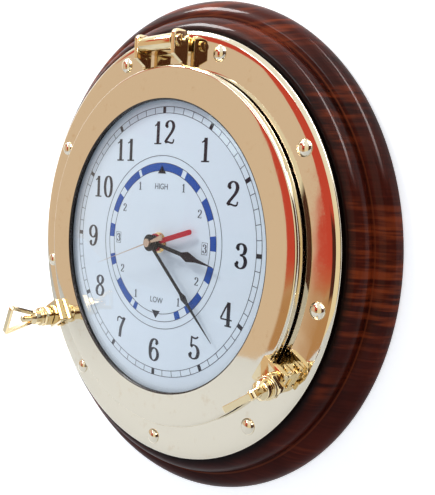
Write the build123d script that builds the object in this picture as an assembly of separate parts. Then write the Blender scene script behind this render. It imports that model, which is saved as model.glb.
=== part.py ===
from build123d import *
from math import cos, radians, sin, sqrt
import os

# A tide clock in a hinged brass porthole on a turned wooden base.
# +Z is up, the dial faces -Y, and +X is to the right of someone who faces the dial.
# The origin is the middle of the base's back face, which hangs flat on a wall.
# A depth is a distance in front of that face, so a depth d lies at y = -d.
# A piece that repeats round the dial is drawn at 12 o'clock and turned clockwise.

# Driving dimensions, in millimetres and degrees

# Dial and the board behind it
dial_od = 211.0
dial_thick = 1.5
dial_proud = 2.4
# The printed dial's centre, with the movement on it, sits above the middle of the opening.
dial_rise = 3.0
dial_board_gap = 0.5
board_screw_od = 3.5
board_screw_length = 16.0
board_screw_head_od = 7.0
board_screw_head_depth = 2.0
board_screw_count = 4
board_screw_inset = 5.0

# Porthole door
lip_overlap = 1.3
door_width = 24.2
door_thick = 8.2
door_gap = 0.3
door_edge_round = 1.4
lip_round = 1.0

# Domed glass, its rubber seat and the ring that holds it
glass_rise = 15.0
glass_thick = 2.4
glass_rim_gap = 0.6
glass_bite = 5.4
glass_side_gap = 0.5
gasket_thick = 0.5
seat_gap = 0.05
retainer_thick = 0.8
retainer_inset = 3.2
retainer_flange = 8.0
retainer_gap = 0.1
retainer_screw_od = 2.0
retainer_screw_head_od = 3.6
retainer_screw_head_depth = 0.5
retainer_screw_length = 4.6
retainer_screw_count = 8

# Flange that carries the door
flange_margin = 24.1
flange_thick = 3.0
flange_rim_round = 2.4
flange_bore_gap = 1.0
pin_head_od = 10.9
pin_head_height = 3.0
pin_shank_od = 4.0
pin_length = 20.0
pin_inset = 11.0
pin_count = 9
pin_start_angle = 20.0

# Turned wooden base
base_margin = 25.3
base_edge_height = 3.1
base_back_chamfer = 1.0
lower_bead_rise = 9.2
quirk_width = 1.3
quirk_rise = 1.3
upper_bead_rise = 9.9
seat_rise = 1.9
bead_bulge_share = 0.2
lower_bead_width_share = 0.46
upper_bead_width_share = 0.40
flange_overhang = 1.5
pocket_ledge = 10.5

# Hinge at the top
hinge_reach = 14.3
hinge_height = 11.4
ear_front = 4.9
ear_top = 7.5
ear_round = 4.0
ear_shoulder = 4.7
ear_thick = 3.6
ear_back_gap = 2.6
knuckle_length = 34.0
knuckle_radius = 5.4
knuckle_gap = 0.4
hinge_pin_od = 5.0
hinge_head_od = 7.8
hinge_head_thick = 1.4
slot_width = 1.1
slot_depth = 0.9

# Swing bolts that clamp the door, called dogs
dog_angles = {"left": 240.0, "right": 120.0}
# The left dog stands upright; the right one has slackened and leans out.
dog_leans = {"left": 0.0, "right": 9.0}
dog_reach = 10.6
pivot_height = 5.6
eye_radius = 3.6
eye_width = 6.8
pivot_screw_od = 3.6
pivot_head_od = 7.0
pivot_head_thick = 2.0
clevis_thick = 4.0
clevis_radius = 4.2
clevis_foot_thick = 1.5
clevis_gap = 0.4
bolt_od = 6.0
bolt_length = 35.0
bolt_chamfer = 0.8

# Forks on the door that the dogs drop into
fork_height = 6.0
fork_width = 18.6
fork_foot = 3.4
fork_nose = 6.0
fork_slot_gap = 0.7
fork_gap = 0.6
fork_round = 1.2

# Nuts with a loop handle
nut_gap = 0.4
nut_base_width = 13.4
nut_base_corners = 16.0
nut_base_height = 7.6
collar_od = 15.0
collar_thick = 2.4
nut_od = 12.0
nut_height = 8.0
nut_dome = 2.6
loop_near_width = 10.0
loop_far_width = 27.0
loop_length = 24.0
loop_sink = 3.0
strip_thick = 2.4
strip_width = 4.0
loop_angles = {"left": -66.0, "right": -34.0}

# Running fit of every turning shaft, and the overrun of cuts
running_gap = 0.05
cut_over = 1.0

# Movement case
case_wall = 1.8
case_round = 6.0
case_depth = 12.6
cover_depth = 5.8
washer_od = 22.0
washer_thick = 1.0
post_od = 8.0
post_stand = 0.4
nut_washer_od = 15.0
nut_washer_thick = 0.5
centre_nut_flats = 11.4
centre_nut_thick = 2.2

# Nested tubes of the hands
tide_tube_od = 6.5
hour_tube_od = 5.2
minute_tube_od = 3.9
second_shaft_od = 1.6
arbor_od = 1.6
pivot_sink = 0.8
wheel_thick = 1.2
layer_pitch = 1.8
first_layer_gap = 0.9
mesh_gap = 0.15
layer_numbers = {
    "third": 0,
    "second_pinion": 0,
    "second": 1,
    "third_pinion": 2,
    "minute": 2,
    "minute_pinion": 3,
    "motion": 3,
    "motion_pinion": 4,
    "hour": 4,
    "hour_pinion": 5,
    "idler": 5,
    "idler_pinion": 6,
    "tide": 6,
}

# Tooth counts; radii follow from the wheel centres
third_distance = 12.9
motion_distance = 13.1
idler_distance = 13.3
second_pinion_teeth = 8
third_wheel_teeth = 60
third_pinion_teeth = 8
minute_wheel_teeth = 64
minute_pinion_teeth = 20
motion_wheel_teeth = 60
motion_pinion_teeth = 15
hour_wheel_teeth = 60
hour_pinion_teeth = 57
idler_wheel_teeth = 58
idler_pinion_teeth = 57
tide_wheel_teeth = 58
third_angle = 180.0
motion_angle = 60.0
idler_angle = 300.0
second_wheel_od = 15.0
knob_wheel_od = 6.475
knob_od = 9.0
knob_height = 4.0
knob_gap = 0.5
knob_notch = 1.0
knob_notch_count = 12

# Battery, contacts, motor and board inside the case
battery_od = 14.2
battery_length = 49.0
train_side_gap = 0.8
battery_nub_od = 5.4
battery_nub_height = 1.0
battery_gap = 0.2
contact_width = 6.0
contact_thick = 0.6
contact_boss = 2.1
battery_clear = 2.2
motor_width = 12.0
motor_height = 19.0
motor_depth = 8.0
circuit_thick = 1.2
inner_gap = 1.6

# Hands: heights above the printed dial, lengths, widths and the angles they stand at
hand_thick = 0.6
tide_hand_height = 3.3
hour_hand_height = 5.0
minute_hand_height = 8.8
second_hand_height = 10.6
tide_hand_length = 38.0
hour_hand_length = 59.5
minute_hand_length = 86.5
second_hand_length = 64.0
second_tail_length = 16.0
tide_hand_width = 3.6
hour_hand_width = 2.8
minute_hand_width = 2.3
second_hand_width = 0.8
second_tail_width = 4.0
hour_bulb_width = 7.2
minute_bulb_width = 5.0
hour_bulb_shares = (0.48, 0.585, 0.73)
minute_bulb_shares = (0.52, 0.565, 0.63)
tide_hub_od = 13.0
hour_hub_od = 11.0
minute_hub_od = 12.0
second_hub_od = 6.0
second_cap_height = 0.9
hour_hand_tilt = 1.4
minute_hand_tilt = 3.6
second_hand_tilt = 2.6
tide_hand_angle = 73.4
hour_hand_angle = 101.0
minute_hand_angle = 135.8
second_hand_angle = 251.0

# Keyhole hanger on the back
hanger_width = 62.0
hanger_height = 26.0
hanger_thick = 1.6
hanger_round = 3.0
keyhole_od = 10.0
keyhole_slot = 5.0
keyhole_rise = 9.0
keyhole_room = 7.0
hanger_screw_od = 3.0
hanger_screw_length = 12.0
hanger_screw_head_od = 6.0
hanger_screw_spacing = 48.0

# Train of wheels

def at_angle(distance, angle):
    """(x, z) place at a distance from the axis and a clockwise angle from 12 o'clock."""
    return (distance * sin(radians(angle)), distance * cos(radians(angle)))


def pair_radii(distance, first_teeth, second_teeth):
    """Pitch radii of two wheels that share a centre distance."""
    room = distance - mesh_gap
    first = room * first_teeth / (first_teeth + second_teeth)
    return (first, room - first)


def wheel_radii():
    """Pitch radius of every wheel and pinion of the train."""
    second_pinion, third = pair_radii(third_distance, second_pinion_teeth, third_wheel_teeth)
    third_pinion, minute = pair_radii(third_distance, third_pinion_teeth, minute_wheel_teeth)
    minute_pinion, motion = pair_radii(motion_distance, minute_pinion_teeth, motion_wheel_teeth)
    motion_pinion, hour = pair_radii(motion_distance, motion_pinion_teeth, hour_wheel_teeth)
    hour_pinion, idler = pair_radii(idler_distance, hour_pinion_teeth, idler_wheel_teeth)
    idler_pinion, tide = pair_radii(idler_distance, idler_pinion_teeth, tide_wheel_teeth)
    return {
        "second_pinion": second_pinion,
        "third": third,
        "third_pinion": third_pinion,
        "minute": minute,
        "minute_pinion": minute_pinion,
        "motion": motion,
        "motion_pinion": motion_pinion,
        "hour": hour,
        "hour_pinion": hour_pinion,
        "idler": idler,
        "idler_pinion": idler_pinion,
        "tide": tide,
        "second": second_wheel_od / 2,
    }


def train_places():
    """(x, z) centres of the wheels that stand beside the axis."""
    time_knob_distance = motion_distance + wheel_radii()["motion"] + mesh_gap + knob_wheel_od / 2
    tide_knob_distance = idler_distance + wheel_radii()["idler"] + mesh_gap + knob_wheel_od / 2
    return {
        "third": at_angle(third_distance, third_angle),
        "motion": at_angle(motion_distance, motion_angle),
        "idler": at_angle(idler_distance, idler_angle),
        "time_knob": at_angle(time_knob_distance, motion_angle),
        "tide_knob": at_angle(tide_knob_distance, idler_angle),
    }


# Sizes worked out from the driving dimensions

dial_radius = dial_od / 2
opening_radius = dial_radius - lip_overlap
door_radius = opening_radius + door_width
flange_radius = door_radius + flange_margin
base_radius = flange_radius + base_margin
flange_bore = dial_radius + flange_bore_gap
pocket_radius = dial_radius - pocket_ledge

bead_top = base_edge_height + lower_bead_rise + quirk_rise + upper_bead_rise
base_depth = bead_top + seat_rise
flange_face = base_depth + flange_thick
dial_face = flange_face + dial_proud
dial_back = dial_face - dial_thick
door_back = flange_face + door_gap
door_front = door_back + door_thick

glass_radius = opening_radius + glass_bite
glass_sag = glass_rise - glass_rim_gap
glass_inner_sphere = (dial_radius**2 + glass_sag**2) / (2 * glass_sag)
glass_outer_sphere = glass_inner_sphere + glass_thick
glass_centre = dial_face + glass_rise - glass_inner_sphere

hinge_radius = door_radius + hinge_reach
hinge_depth = flange_face + hinge_height
ear_inner = knuckle_length / 2 + knuckle_gap
ear_outer = ear_inner + ear_thick

dog_radius = door_radius + dog_reach
pivot_depth = flange_face + pivot_height
clevis_inner = eye_width / 2 + clevis_gap
clevis_outer = clevis_inner + clevis_thick
clevis_top = pivot_depth + clevis_radius
fork_front = door_front + fork_height
bolt_tip = pivot_depth + bolt_length
nut_back = fork_front + nut_gap
collar_back = nut_back + nut_base_height
collar_front = collar_back + collar_thick
nut_front = collar_front + nut_height
loop_back = nut_front - loop_sink
loop_front = loop_back + loop_length

battery_height = train_places()["time_knob"][1] + knob_od / 2 + battery_clear + battery_od / 2
train_reach = train_places()["time_knob"][0] + knob_wheel_od / 2
case_half = max(battery_length / 2 + contact_boss + contact_thick, train_reach + train_side_gap)
case_width = 2 * (case_half + case_wall)
case_height = 2 * (battery_height + battery_od / 2 + battery_gap + case_wall)
case_front = base_depth - washer_thick
case_split = case_front - case_depth
cover_back = case_split - cover_depth
case_inside = case_front - case_wall
cover_inside = cover_back + case_wall
inside_half_width = case_width / 2 - case_wall
inside_half_height = case_height / 2 - case_wall
nut_washer_front = dial_face + nut_washer_thick
centre_nut_front = nut_washer_front + centre_nut_thick
post_front = centre_nut_front + post_stand
tube_bores = {
    "post": tide_tube_od / 2 + running_gap,
    "tide": hour_tube_od / 2 + running_gap,
    "hour": minute_tube_od / 2 + running_gap,
    "minute": second_shaft_od / 2 + running_gap,
}
hanger_radius = (pocket_radius + base_radius) / 2


# Drawing helpers

def turned(*stops):
    """Solid turned about the clock's axis from (radius, depth) stops; a third value is the
    (radius, depth) point that the stretch leading to that stop bends through."""
    edges = []
    before = stops[-1]
    for stop in stops:
        start = (before[0], -before[1])
        end = (stop[0], -stop[1])
        if len(stop) > 2:
            edges.append(ThreePointArc(start, (stop[2][0], -stop[2][1]), end))
        else:
            edges.append(Line(start, end))
        before = stop
    return revolve(make_face(edges), Axis.Y)


def corner(radius, depth, size):
    """Point half way round an outer rounded corner whose square corner is at (radius, depth)."""
    inset = size * (1 - cos(radians(45)))
    return (radius - inset, depth - inset)


def rod(radius, start, end, x=0, z=0):
    """Round bar along the clock's axis between two depths."""
    return Pos(x, -(start + end) / 2, z) * Rot(90, 0, 0) * Cylinder(radius, end - start)


def tube(outer, inner, start, end, x=0, z=0):
    """Hollow round bar along the clock's axis between two depths."""
    return rod(outer, start, end, x, z) - rod(inner, start - cut_over, end + cut_over, x, z)


def cross_rod(radius, start, end, depth, z):
    """Round bar along X between two places, at a depth and a height."""
    return Pos((start + end) / 2, -depth, z) * Rot(0, 90, 0) * Cylinder(radius, end - start)


def block(x_range, depth_range, z_range):
    """Square block between two places along X, depth and Z."""
    size = [high - low for low, high in (x_range, depth_range, z_range)]
    middle = [(low + high) / 2 for low, high in (x_range, depth_range, z_range)]
    return Pos(middle[0], -middle[1], middle[2]) * Box(*size)


def cheek(points, start, end):
    """Plate square to X between two places, from (depth, z) outline points."""
    face = make_face(Polyline([(-d, z) for d, z in points], close=True))
    return Pos(start, 0, 0) * extrude(Plane.YZ * face, end - start)


def front_plate(face, depth, thick):
    """Plate parallel to the dial from a flat (x, z) face, its back at a depth."""
    return extrude(Plane.XZ.offset(depth) * face, thick)


def around(angle, shape):
    """Turn a shape clockwise about the clock's axis, as the dial is seen."""
    return Rot(0, angle, 0) * shape


def ring_of(count, start, shape):
    """Copies of a shape set evenly round the clock's axis."""
    return [around(start + k * 360 / count, shape) for k in range(count)]


def sphere_depth(sphere, radius):
    """Depth of the glass's inner or outer sphere at a radius from the axis."""
    return glass_centre + sqrt(sphere**2 - radius**2)


def screw_slot(radius, face, away):
    """Cutter for the driver slot in a head that faces along X at a place."""
    depth = face - away * slot_depth
    ends = sorted((depth, face + away * cut_over))
    return Pos((ends[0] + ends[1]) / 2, 0, 0) * Box(ends[1] - ends[0], slot_width, 2 * radius + cut_over)


# Wooden base and hanger

def wooden_base():
    """Turned ring with two beads and a quirk between them, bored for the movement."""
    seat_radius = flange_radius - flange_overhang
    show = base_radius - seat_radius
    lower_in = base_radius - show * lower_bead_width_share
    quirk_in = lower_in - quirk_width
    upper_in = quirk_in - show * upper_bead_width_share
    lower_top = base_edge_height + lower_bead_rise
    quirk_top = lower_top + quirk_rise

    def bulged(start, end):
        run = (end[0] - start[0], end[1] - start[1])
        middle = ((start[0] + end[0]) / 2, (start[1] + end[1]) / 2)
        return (middle[0] + run[1] * bead_bulge_share, middle[1] - run[0] * bead_bulge_share)

    shoulder = (base_radius, base_edge_height)
    lower_end = (lower_in, lower_top)
    quirk_end = (quirk_in, quirk_top)
    upper_end = (upper_in, bead_top)
    body = turned(
        (pocket_radius, 0),
        (base_radius - base_back_chamfer, 0),
        (base_radius, base_back_chamfer),
        shoulder,
        (*lower_end, bulged(shoulder, lower_end)),
        (quirk_in, lower_top),
        quirk_end,
        (*upper_end, bulged(quirk_end, upper_end)),
        (seat_radius, bead_top),
        (seat_radius, base_depth),
        (pocket_radius, base_depth),
    )
    body -= ring_of(pin_count, pin_start_angle, flange_pin())
    body -= ring_of(board_screw_count, 360 / board_screw_count / 2, board_screw())
    body -= hanger_outline(hanger_thick)
    room = keyhole_od / 2 + case_wall
    heights = (hanger_radius - room, hanger_radius + room + keyhole_rise)
    body -= block((-room, room), (0, keyhole_room), heights)
    body -= hanger_screw(-1)
    body -= hanger_screw(1)
    return body


def hanger_outline(thick):
    """Rounded hanger blank, its back flush with the base's back."""
    face = RectangleRounded(hanger_width, hanger_height, hanger_round)
    return Pos(0, 0, hanger_radius) * front_plate(face, 0, thick)


def hanger_plate():
    """Keyhole hanger: the screw head enters the round hole and the slot drops on its neck."""
    plate = hanger_outline(hanger_thick)
    plate -= rod(keyhole_od / 2, -cut_over, hanger_thick + cut_over, 0, hanger_radius)
    plate -= block(
        (-keyhole_slot / 2, keyhole_slot / 2),
        (-cut_over, hanger_thick + cut_over),
        (hanger_radius, hanger_radius + keyhole_rise),
    )
    plate -= rod(keyhole_slot / 2, -cut_over, hanger_thick + cut_over, 0, hanger_radius + keyhole_rise)
    plate -= hanger_screw(-1)
    plate -= hanger_screw(1)
    return plate


def hanger_screw(side):
    """Flush wood screw on one side of the hanger."""
    x = side * hanger_screw_spacing / 2
    head = Pos(x, -hanger_thick / 2, hanger_radius) * Rot(90, 0, 0) * Cone(
        hanger_screw_head_od / 2, hanger_screw_od / 2, hanger_thick
    )
    return head + rod(hanger_screw_od / 2, hanger_thick, hanger_screw_length, x, hanger_radius)


# Flange

def flange():
    """Flat brass ring with a rounded rim."""
    rim = flange_rim_round
    body = turned(
        (flange_bore, base_depth),
        (flange_radius, base_depth),
        (flange_radius, flange_face - rim),
        (flange_radius - rim, flange_face, corner(flange_radius, flange_face, rim)),
        (flange_bore, flange_face),
    )
    return body - ring_of(pin_count, pin_start_angle, flange_pin())


def flange_pin():
    """Domed pin through the flange into the wood, at 12 o'clock."""
    radius = pin_head_od / 2
    sphere = (radius**2 + pin_head_height**2) / (2 * pin_head_height)
    place = flange_radius - pin_inset
    cap = Pos(0, -(flange_face + pin_head_height - sphere), place) * Sphere(sphere)
    cap &= rod(radius, flange_face, flange_face + pin_head_height + cut_over, 0, place)
    return cap + rod(pin_shank_od / 2, flange_face - pin_length, flange_face, 0, place)


def hinge_knuckle():
    """Block on the flange that the hinge pin turns in."""
    side = knuckle_length / 2
    bottom = hinge_radius - knuckle_radius
    top = hinge_radius + knuckle_radius
    body = block((-side, side), (flange_face, hinge_depth), (bottom, top))
    body += cross_rod(knuckle_radius, -side, side, hinge_depth, hinge_radius)
    bore = hinge_pin_od / 2 + running_gap
    return body - cross_rod(bore, -side - cut_over, side + cut_over, hinge_depth, hinge_radius)


def clevis():
    """Two ears on a foot, brazed to the flange, that a swing bolt pivots in."""
    low = dog_radius - clevis_radius
    high = dog_radius + clevis_radius
    body = block((-clevis_outer, clevis_outer), (flange_face, pivot_depth), (low, high))
    body += cross_rod(clevis_radius, -clevis_outer, clevis_outer, pivot_depth, dog_radius)
    body -= block(
        (-clevis_inner, clevis_inner),
        (flange_face + clevis_foot_thick, clevis_top + cut_over),
        (low - cut_over, high + cut_over),
    )
    return body - pivot_screw()


def pivot_screw():
    """Slotted screw across a clevis, its head on the anticlockwise side."""
    face = -clevis_outer - pivot_head_thick
    body = cross_rod(pivot_screw_od / 2, -clevis_outer, clevis_outer, pivot_depth, dog_radius)
    body += cross_rod(pivot_head_od / 2, face, -clevis_outer, pivot_depth, dog_radius)
    return body - Pos(0, -pivot_depth, dog_radius) * screw_slot(pivot_head_od / 2, face, -1)


# Dial and movement mounting

def dial_board():
    """Backing board that lies on the wood inside the flange."""
    body = rod(dial_radius - dial_board_gap, base_depth, dial_back)
    body -= rod(post_od / 2, base_depth - cut_over, dial_back + cut_over, 0, dial_rise)
    return body - ring_of(board_screw_count, 360 / board_screw_count / 2, board_screw())


def board_screw():
    """Countersunk screw that holds the board to the wood, under the dial."""
    place = pocket_radius + board_screw_inset
    head = Pos(0, -(dial_back - board_screw_head_depth / 2), place) * Rot(90, 0, 0) * Cone(
        board_screw_od / 2, board_screw_head_od / 2, board_screw_head_depth
    )
    shank_front = dial_back - board_screw_head_depth
    return head + rod(board_screw_od / 2, dial_back - board_screw_length, shank_front, 0, place)


def dial_plate():
    """Thin plate that carries the printed dial."""
    hole = rod(post_od / 2, dial_back - cut_over, dial_face + cut_over, 0, dial_rise)
    return rod(dial_radius, dial_back, dial_face) - hole


def centre_nut():
    """Hexagon nut that clamps the dial to the movement's post."""
    corner_radius = centre_nut_flats / sqrt(3)
    face = RegularPolygon(corner_radius, 6) - Circle(post_od / 2)
    return front_plate(face, nut_washer_front, centre_nut_thick)


# Movement

def case_outline(inset):
    """Rounded rectangle of the movement case, drawn in by an inset."""
    return RectangleRounded(case_width - 2 * inset, case_height - 2 * inset, case_round - inset)


def layer(name):
    """Back depth of the layer that a wheel of the train turns in."""
    return cover_inside + first_layer_gap + layer_numbers[name] * layer_pitch


def disc(name, place=(0, 0)):
    """Wheel or pinion of the train, as the disc of its pitch circle, in its layer."""
    start = layer(name)
    return rod(wheel_radii()[name], start, start + wheel_thick, *place)


def movement_case():
    """Front half of the case with the threaded post that carries the clock."""
    body = front_plate(case_outline(0), case_split, case_depth)
    body -= front_plate(case_outline(case_wall), case_split - cut_over, case_inside - case_split + cut_over)
    body += rod(post_od / 2, case_front, post_front)
    body -= rod(tube_bores["post"], case_inside - cut_over, post_front + cut_over)
    for name in ("third", "motion", "idler"):
        hole = arbor_od / 2 + running_gap
        end = case_inside + pivot_sink + running_gap
        body -= rod(hole, case_inside - cut_over, end, *train_places()[name])
    return body


def movement_cover():
    """Rear half of the case, open behind the battery, with the knobs' holes."""
    body = front_plate(case_outline(0), cover_back, cover_depth)
    body -= front_plate(case_outline(case_wall), cover_inside, cover_depth)
    pivot = arbor_od / 2 + running_gap
    pit = cover_inside - pivot_sink - running_gap
    for name in ("third", "motion", "idler"):
        body -= rod(pivot, pit, cover_inside + cut_over, *train_places()[name])
    centre = second_shaft_od / 2 + running_gap
    body -= rod(centre, pit, cover_inside + cut_over)
    for name in ("time_knob", "tide_knob"):
        body -= rod(pivot, cover_back - cut_over, cover_inside + cut_over, *train_places()[name])
    half = battery_length / 2
    window = battery_od / 2
    return body - block(
        (-half, half),
        (cover_back - cut_over, cover_inside + cut_over),
        (battery_height - window, battery_height + window - case_wall),
    )


def tide_wheel():
    """Outermost tube, with its wheel, that carries the tide hand."""
    front = dial_face + tide_hand_height + hand_thick
    return tube(tide_tube_od / 2, tube_bores["tide"], layer("tide"), front) + tube(
        wheel_radii()["tide"], tube_bores["tide"], layer("tide"), layer("tide") + wheel_thick
    )


def hour_wheel():
    """Tube with its wheel and pinion that carries the hour hand."""
    front = dial_face + hour_hand_height + hand_thick
    body = rod(hour_tube_od / 2, layer("hour"), front) + disc("hour") + disc("hour_pinion")
    return body - rod(tube_bores["hour"], layer("hour") - cut_over, front + cut_over)


def minute_wheel():
    """Tube with its wheel and pinion that carries the minute hand."""
    front = dial_face + minute_hand_height + hand_thick
    body = rod(minute_tube_od / 2, layer("minute"), front) + disc("minute") + disc("minute_pinion")
    return body - rod(tube_bores["minute"], layer("minute") - cut_over, front + cut_over)


def second_wheel():
    """Central shaft with its wheel and pinion that carries the second hand."""
    front = dial_face + second_hand_height + hand_thick
    shaft = rod(second_shaft_od / 2, cover_inside - pivot_sink, front)
    return shaft + disc("second_pinion") + disc("second")


def side_arbor(name):
    """Thin arbor beside the axis, pivoted in the case and the cover."""
    return rod(arbor_od / 2, cover_inside - pivot_sink, case_inside + pivot_sink, *train_places()[name])


def third_wheel():
    """Reduction between the second and minute wheels."""
    place = train_places()["third"]
    return side_arbor("third") + disc("third", place) + disc("third_pinion", place)


def motion_wheel():
    """Reduction between the minute and hour wheels."""
    place = train_places()["motion"]
    return side_arbor("motion") + disc("motion", place) + disc("motion_pinion", place)


def tide_idler():
    """Reduction between the hour and tide wheels."""
    place = train_places()["idler"]
    return side_arbor("idler") + disc("idler", place) + disc("idler_pinion", place)


def setting_knob(name, partner):
    """Notched knob behind the cover, on an arbor whose small wheel sets part of the train."""
    place = train_places()[name]
    front = cover_back - knob_gap
    back = front - knob_height
    body = rod(knob_od / 2, back, front, *place)
    notch = rod(knob_notch / 2, back - cut_over, front + cut_over, 0, knob_od / 2)
    turn = [Pos(place[0], 0, place[1]) * piece for piece in ring_of(knob_notch_count, 0, notch)]
    body -= turn
    start = layer(partner)
    body += rod(arbor_od / 2, front, start + wheel_thick, *place)
    return body + rod(knob_wheel_od / 2, start, start + wheel_thick, *place)


def battery():
    """Round cell across the top of the case, its nub to the right."""
    z = battery_height
    depth = case_inside - battery_gap - battery_od / 2
    half = battery_length / 2
    body = cross_rod(battery_od / 2, -half, half - battery_nub_height, depth, z)
    return body + cross_rod(battery_nub_od / 2, half - battery_nub_height, half, depth, z)


def battery_contact(side):
    """Plate at one end of the battery bay, with the boss that touches the cell."""
    z = battery_height
    depth = case_inside - battery_gap - battery_od / 2
    wall = side * inside_half_width
    plate_face = side * (inside_half_width - contact_thick)
    reach = contact_width / 2
    plate = block(sorted((plate_face, wall)), (depth - reach, depth + reach), (z - reach, z + reach))
    ends = sorted((plate_face, side * battery_length / 2))
    return plate + cross_rod(battery_nub_od / 2, ends[0], ends[1], depth, z)


def stepper_motor():
    """Sealed stepping motor on the inside of the case front."""
    left = -inside_half_width + inner_gap
    bottom = -inside_half_height + inner_gap
    depths = (case_inside - motor_depth, case_inside)
    return block((left, left + motor_width), depths, (bottom, bottom + motor_height))


def circuit_board():
    """Circuit board on the inside of the case front."""
    right = inside_half_width - inner_gap
    bottom = -inside_half_height + inner_gap
    depths = (case_inside - circuit_thick, case_inside)
    return block((right - motor_width, right), depths, (bottom, bottom + motor_height))


# Hands

def placed_hand(outline, hub_od, tube_radius, height, tilt, angle):
    """Flat hand on a round hub, its blade bent back by a tilt and set at an angle."""
    depth = dial_face + height
    blade = front_plate(outline, depth, hand_thick)
    blade = Pos(0, -depth, 0) * Rot(-tilt, 0, 0) * Pos(0, depth, 0) * blade
    hub = rod(hub_od / 2, depth, depth + hand_thick)
    body = (blade - rod(hub_od / 2 - hand_thick, depth - cut_over, depth + 2 * cut_over)) + hub
    body -= rod(tube_radius, depth - cut_over, depth + 2 * cut_over)
    return around(angle, body)


def bar_outline(width, start, end):
    """Straight bar along +Z."""
    return Pos(0, (start + end) / 2) * Rectangle(width, end - start)


def tide_hand():
    """Flat bar with a round end."""
    reach = tide_hand_length - tide_hand_width / 2
    outline = bar_outline(tide_hand_width, 0, reach) + Pos(0, reach) * Circle(tide_hand_width / 2)
    return placed_hand(outline, tide_hub_od, tide_tube_od / 2, tide_hand_height, 0, tide_hand_angle)


def pointed_outline(width, bulb_width, length, bulb_shares):
    """Bar with a bulb on the way and a fine point, along +Z."""
    half = width / 2
    bulb = bulb_width / 2
    low, wide, high = [length * share for share in bulb_shares]
    right = [(half, 0), (half, low), (bulb, wide), (half, high)]
    left = [(-x, z) for x, z in reversed(right)]
    return make_face(Polyline([*right, (0, length), *left], close=True))


def hour_hand():
    """Hour hand with a drop-shaped bulb."""
    outline = pointed_outline(hour_hand_width, hour_bulb_width, hour_hand_length, hour_bulb_shares)
    return placed_hand(
        outline, hour_hub_od, hour_tube_od / 2, hour_hand_height, hour_hand_tilt, hour_hand_angle
    )


def minute_hand():
    """Minute hand with a small bulb."""
    outline = pointed_outline(minute_hand_width, minute_bulb_width, minute_hand_length, minute_bulb_shares)
    return placed_hand(
        outline, minute_hub_od, minute_tube_od / 2, minute_hand_height, minute_hand_tilt, minute_hand_angle
    )


def second_hand():
    """Fine needle with a widening tail and a domed cap on the shaft's end."""
    half = second_hand_width / 2
    wide = second_tail_width / 2
    outline = make_face(Polyline([(half, 0), (0, second_hand_length), (-half, 0)], close=True))
    tail = make_face(
        Polyline(
            [(half, 0), (wide, -second_tail_length), (-wide, -second_tail_length), (-half, 0)], close=True
        )
    )
    needle = placed_hand(
        outline, second_hub_od, second_shaft_od / 2, second_hand_height, second_hand_tilt, second_hand_angle
    )
    depth = dial_face + second_hand_height
    cap_front = depth + hand_thick + second_cap_height
    cap = rod(second_hub_od / 2, depth + hand_thick, cap_front)
    core = rod(second_hub_od / 2 - hand_thick, depth - cut_over, cap_front)
    counter = front_plate(tail, depth, hand_thick) - core
    return needle + around(second_hand_angle, counter) + cap


# Door

def door_ring():
    """Flat brass ring, rabbeted behind its lip for the glass."""
    seat = sphere_depth(glass_outer_sphere, opening_radius) + gasket_thick
    rabbet = glass_radius + glass_side_gap
    recess = rabbet + retainer_flange
    recess_depth = sphere_depth(glass_inner_sphere, glass_radius) - retainer_gap
    body = turned(
        (recess, door_back),
        (door_radius, door_back),
        (door_radius, door_front - door_edge_round),
        (door_radius - door_edge_round, door_front, corner(door_radius, door_front, door_edge_round)),
        (opening_radius + lip_round, door_front),
        (
            opening_radius,
            door_front - lip_round,
            (
                opening_radius + lip_round * (1 - cos(radians(45))),
                door_front - lip_round * (1 - cos(radians(45))),
            ),
        ),
        (opening_radius, seat),
        (rabbet, seat),
        (rabbet, recess_depth),
        (recess, recess_depth),
    )
    return body - ring_of(retainer_screw_count, 0, retainer_screw())


def door_glass():
    """Domed pane, a cap of two spheres with one centre."""
    edge_in = sphere_depth(glass_inner_sphere, glass_radius)
    edge_out = sphere_depth(glass_outer_sphere, glass_radius)
    half = glass_radius / 2
    return turned(
        (0, glass_centre + glass_inner_sphere),
        (glass_radius, edge_in, (half, sphere_depth(glass_inner_sphere, half))),
        (glass_radius, edge_out),
        (0, glass_centre + glass_outer_sphere, (half, sphere_depth(glass_outer_sphere, half))),
    )


def glass_gasket():
    """Rubber ring between the lip and the rim of the glass."""
    inner = opening_radius + seat_gap
    outer = glass_radius
    seat = sphere_depth(glass_outer_sphere, opening_radius) + gasket_thick
    return turned(
        (inner, sphere_depth(glass_outer_sphere, inner) + seat_gap),
        (outer, sphere_depth(glass_outer_sphere, outer) + seat_gap),
        (outer, seat),
        (inner, seat),
    )


def retainer_depth():
    """Depth of the front of the ring that holds the glass in."""
    return sphere_depth(glass_inner_sphere, glass_radius) - retainer_gap


def glass_retainer():
    """Flat ring screwed to the back of the door behind the glass."""
    rabbet = glass_radius + glass_side_gap
    front = retainer_depth()
    outer = rabbet + retainer_flange - seat_gap
    body = tube(outer, glass_radius - retainer_inset, front - retainer_thick, front)
    return body - ring_of(retainer_screw_count, 0, retainer_screw())


def retainer_screw():
    """Flush screw that holds the glass's ring to the door."""
    place = glass_radius + glass_side_gap + retainer_flange / 2
    back = retainer_depth() - retainer_thick
    neck = back + retainer_screw_head_depth
    head = Pos(0, -(back + neck) / 2, place) * Rot(90, 0, 0) * Cone(
        retainer_screw_head_od / 2, retainer_screw_od / 2, retainer_screw_head_depth
    )
    return head + rod(retainer_screw_od / 2, neck, back + retainer_screw_length, 0, place)


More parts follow.
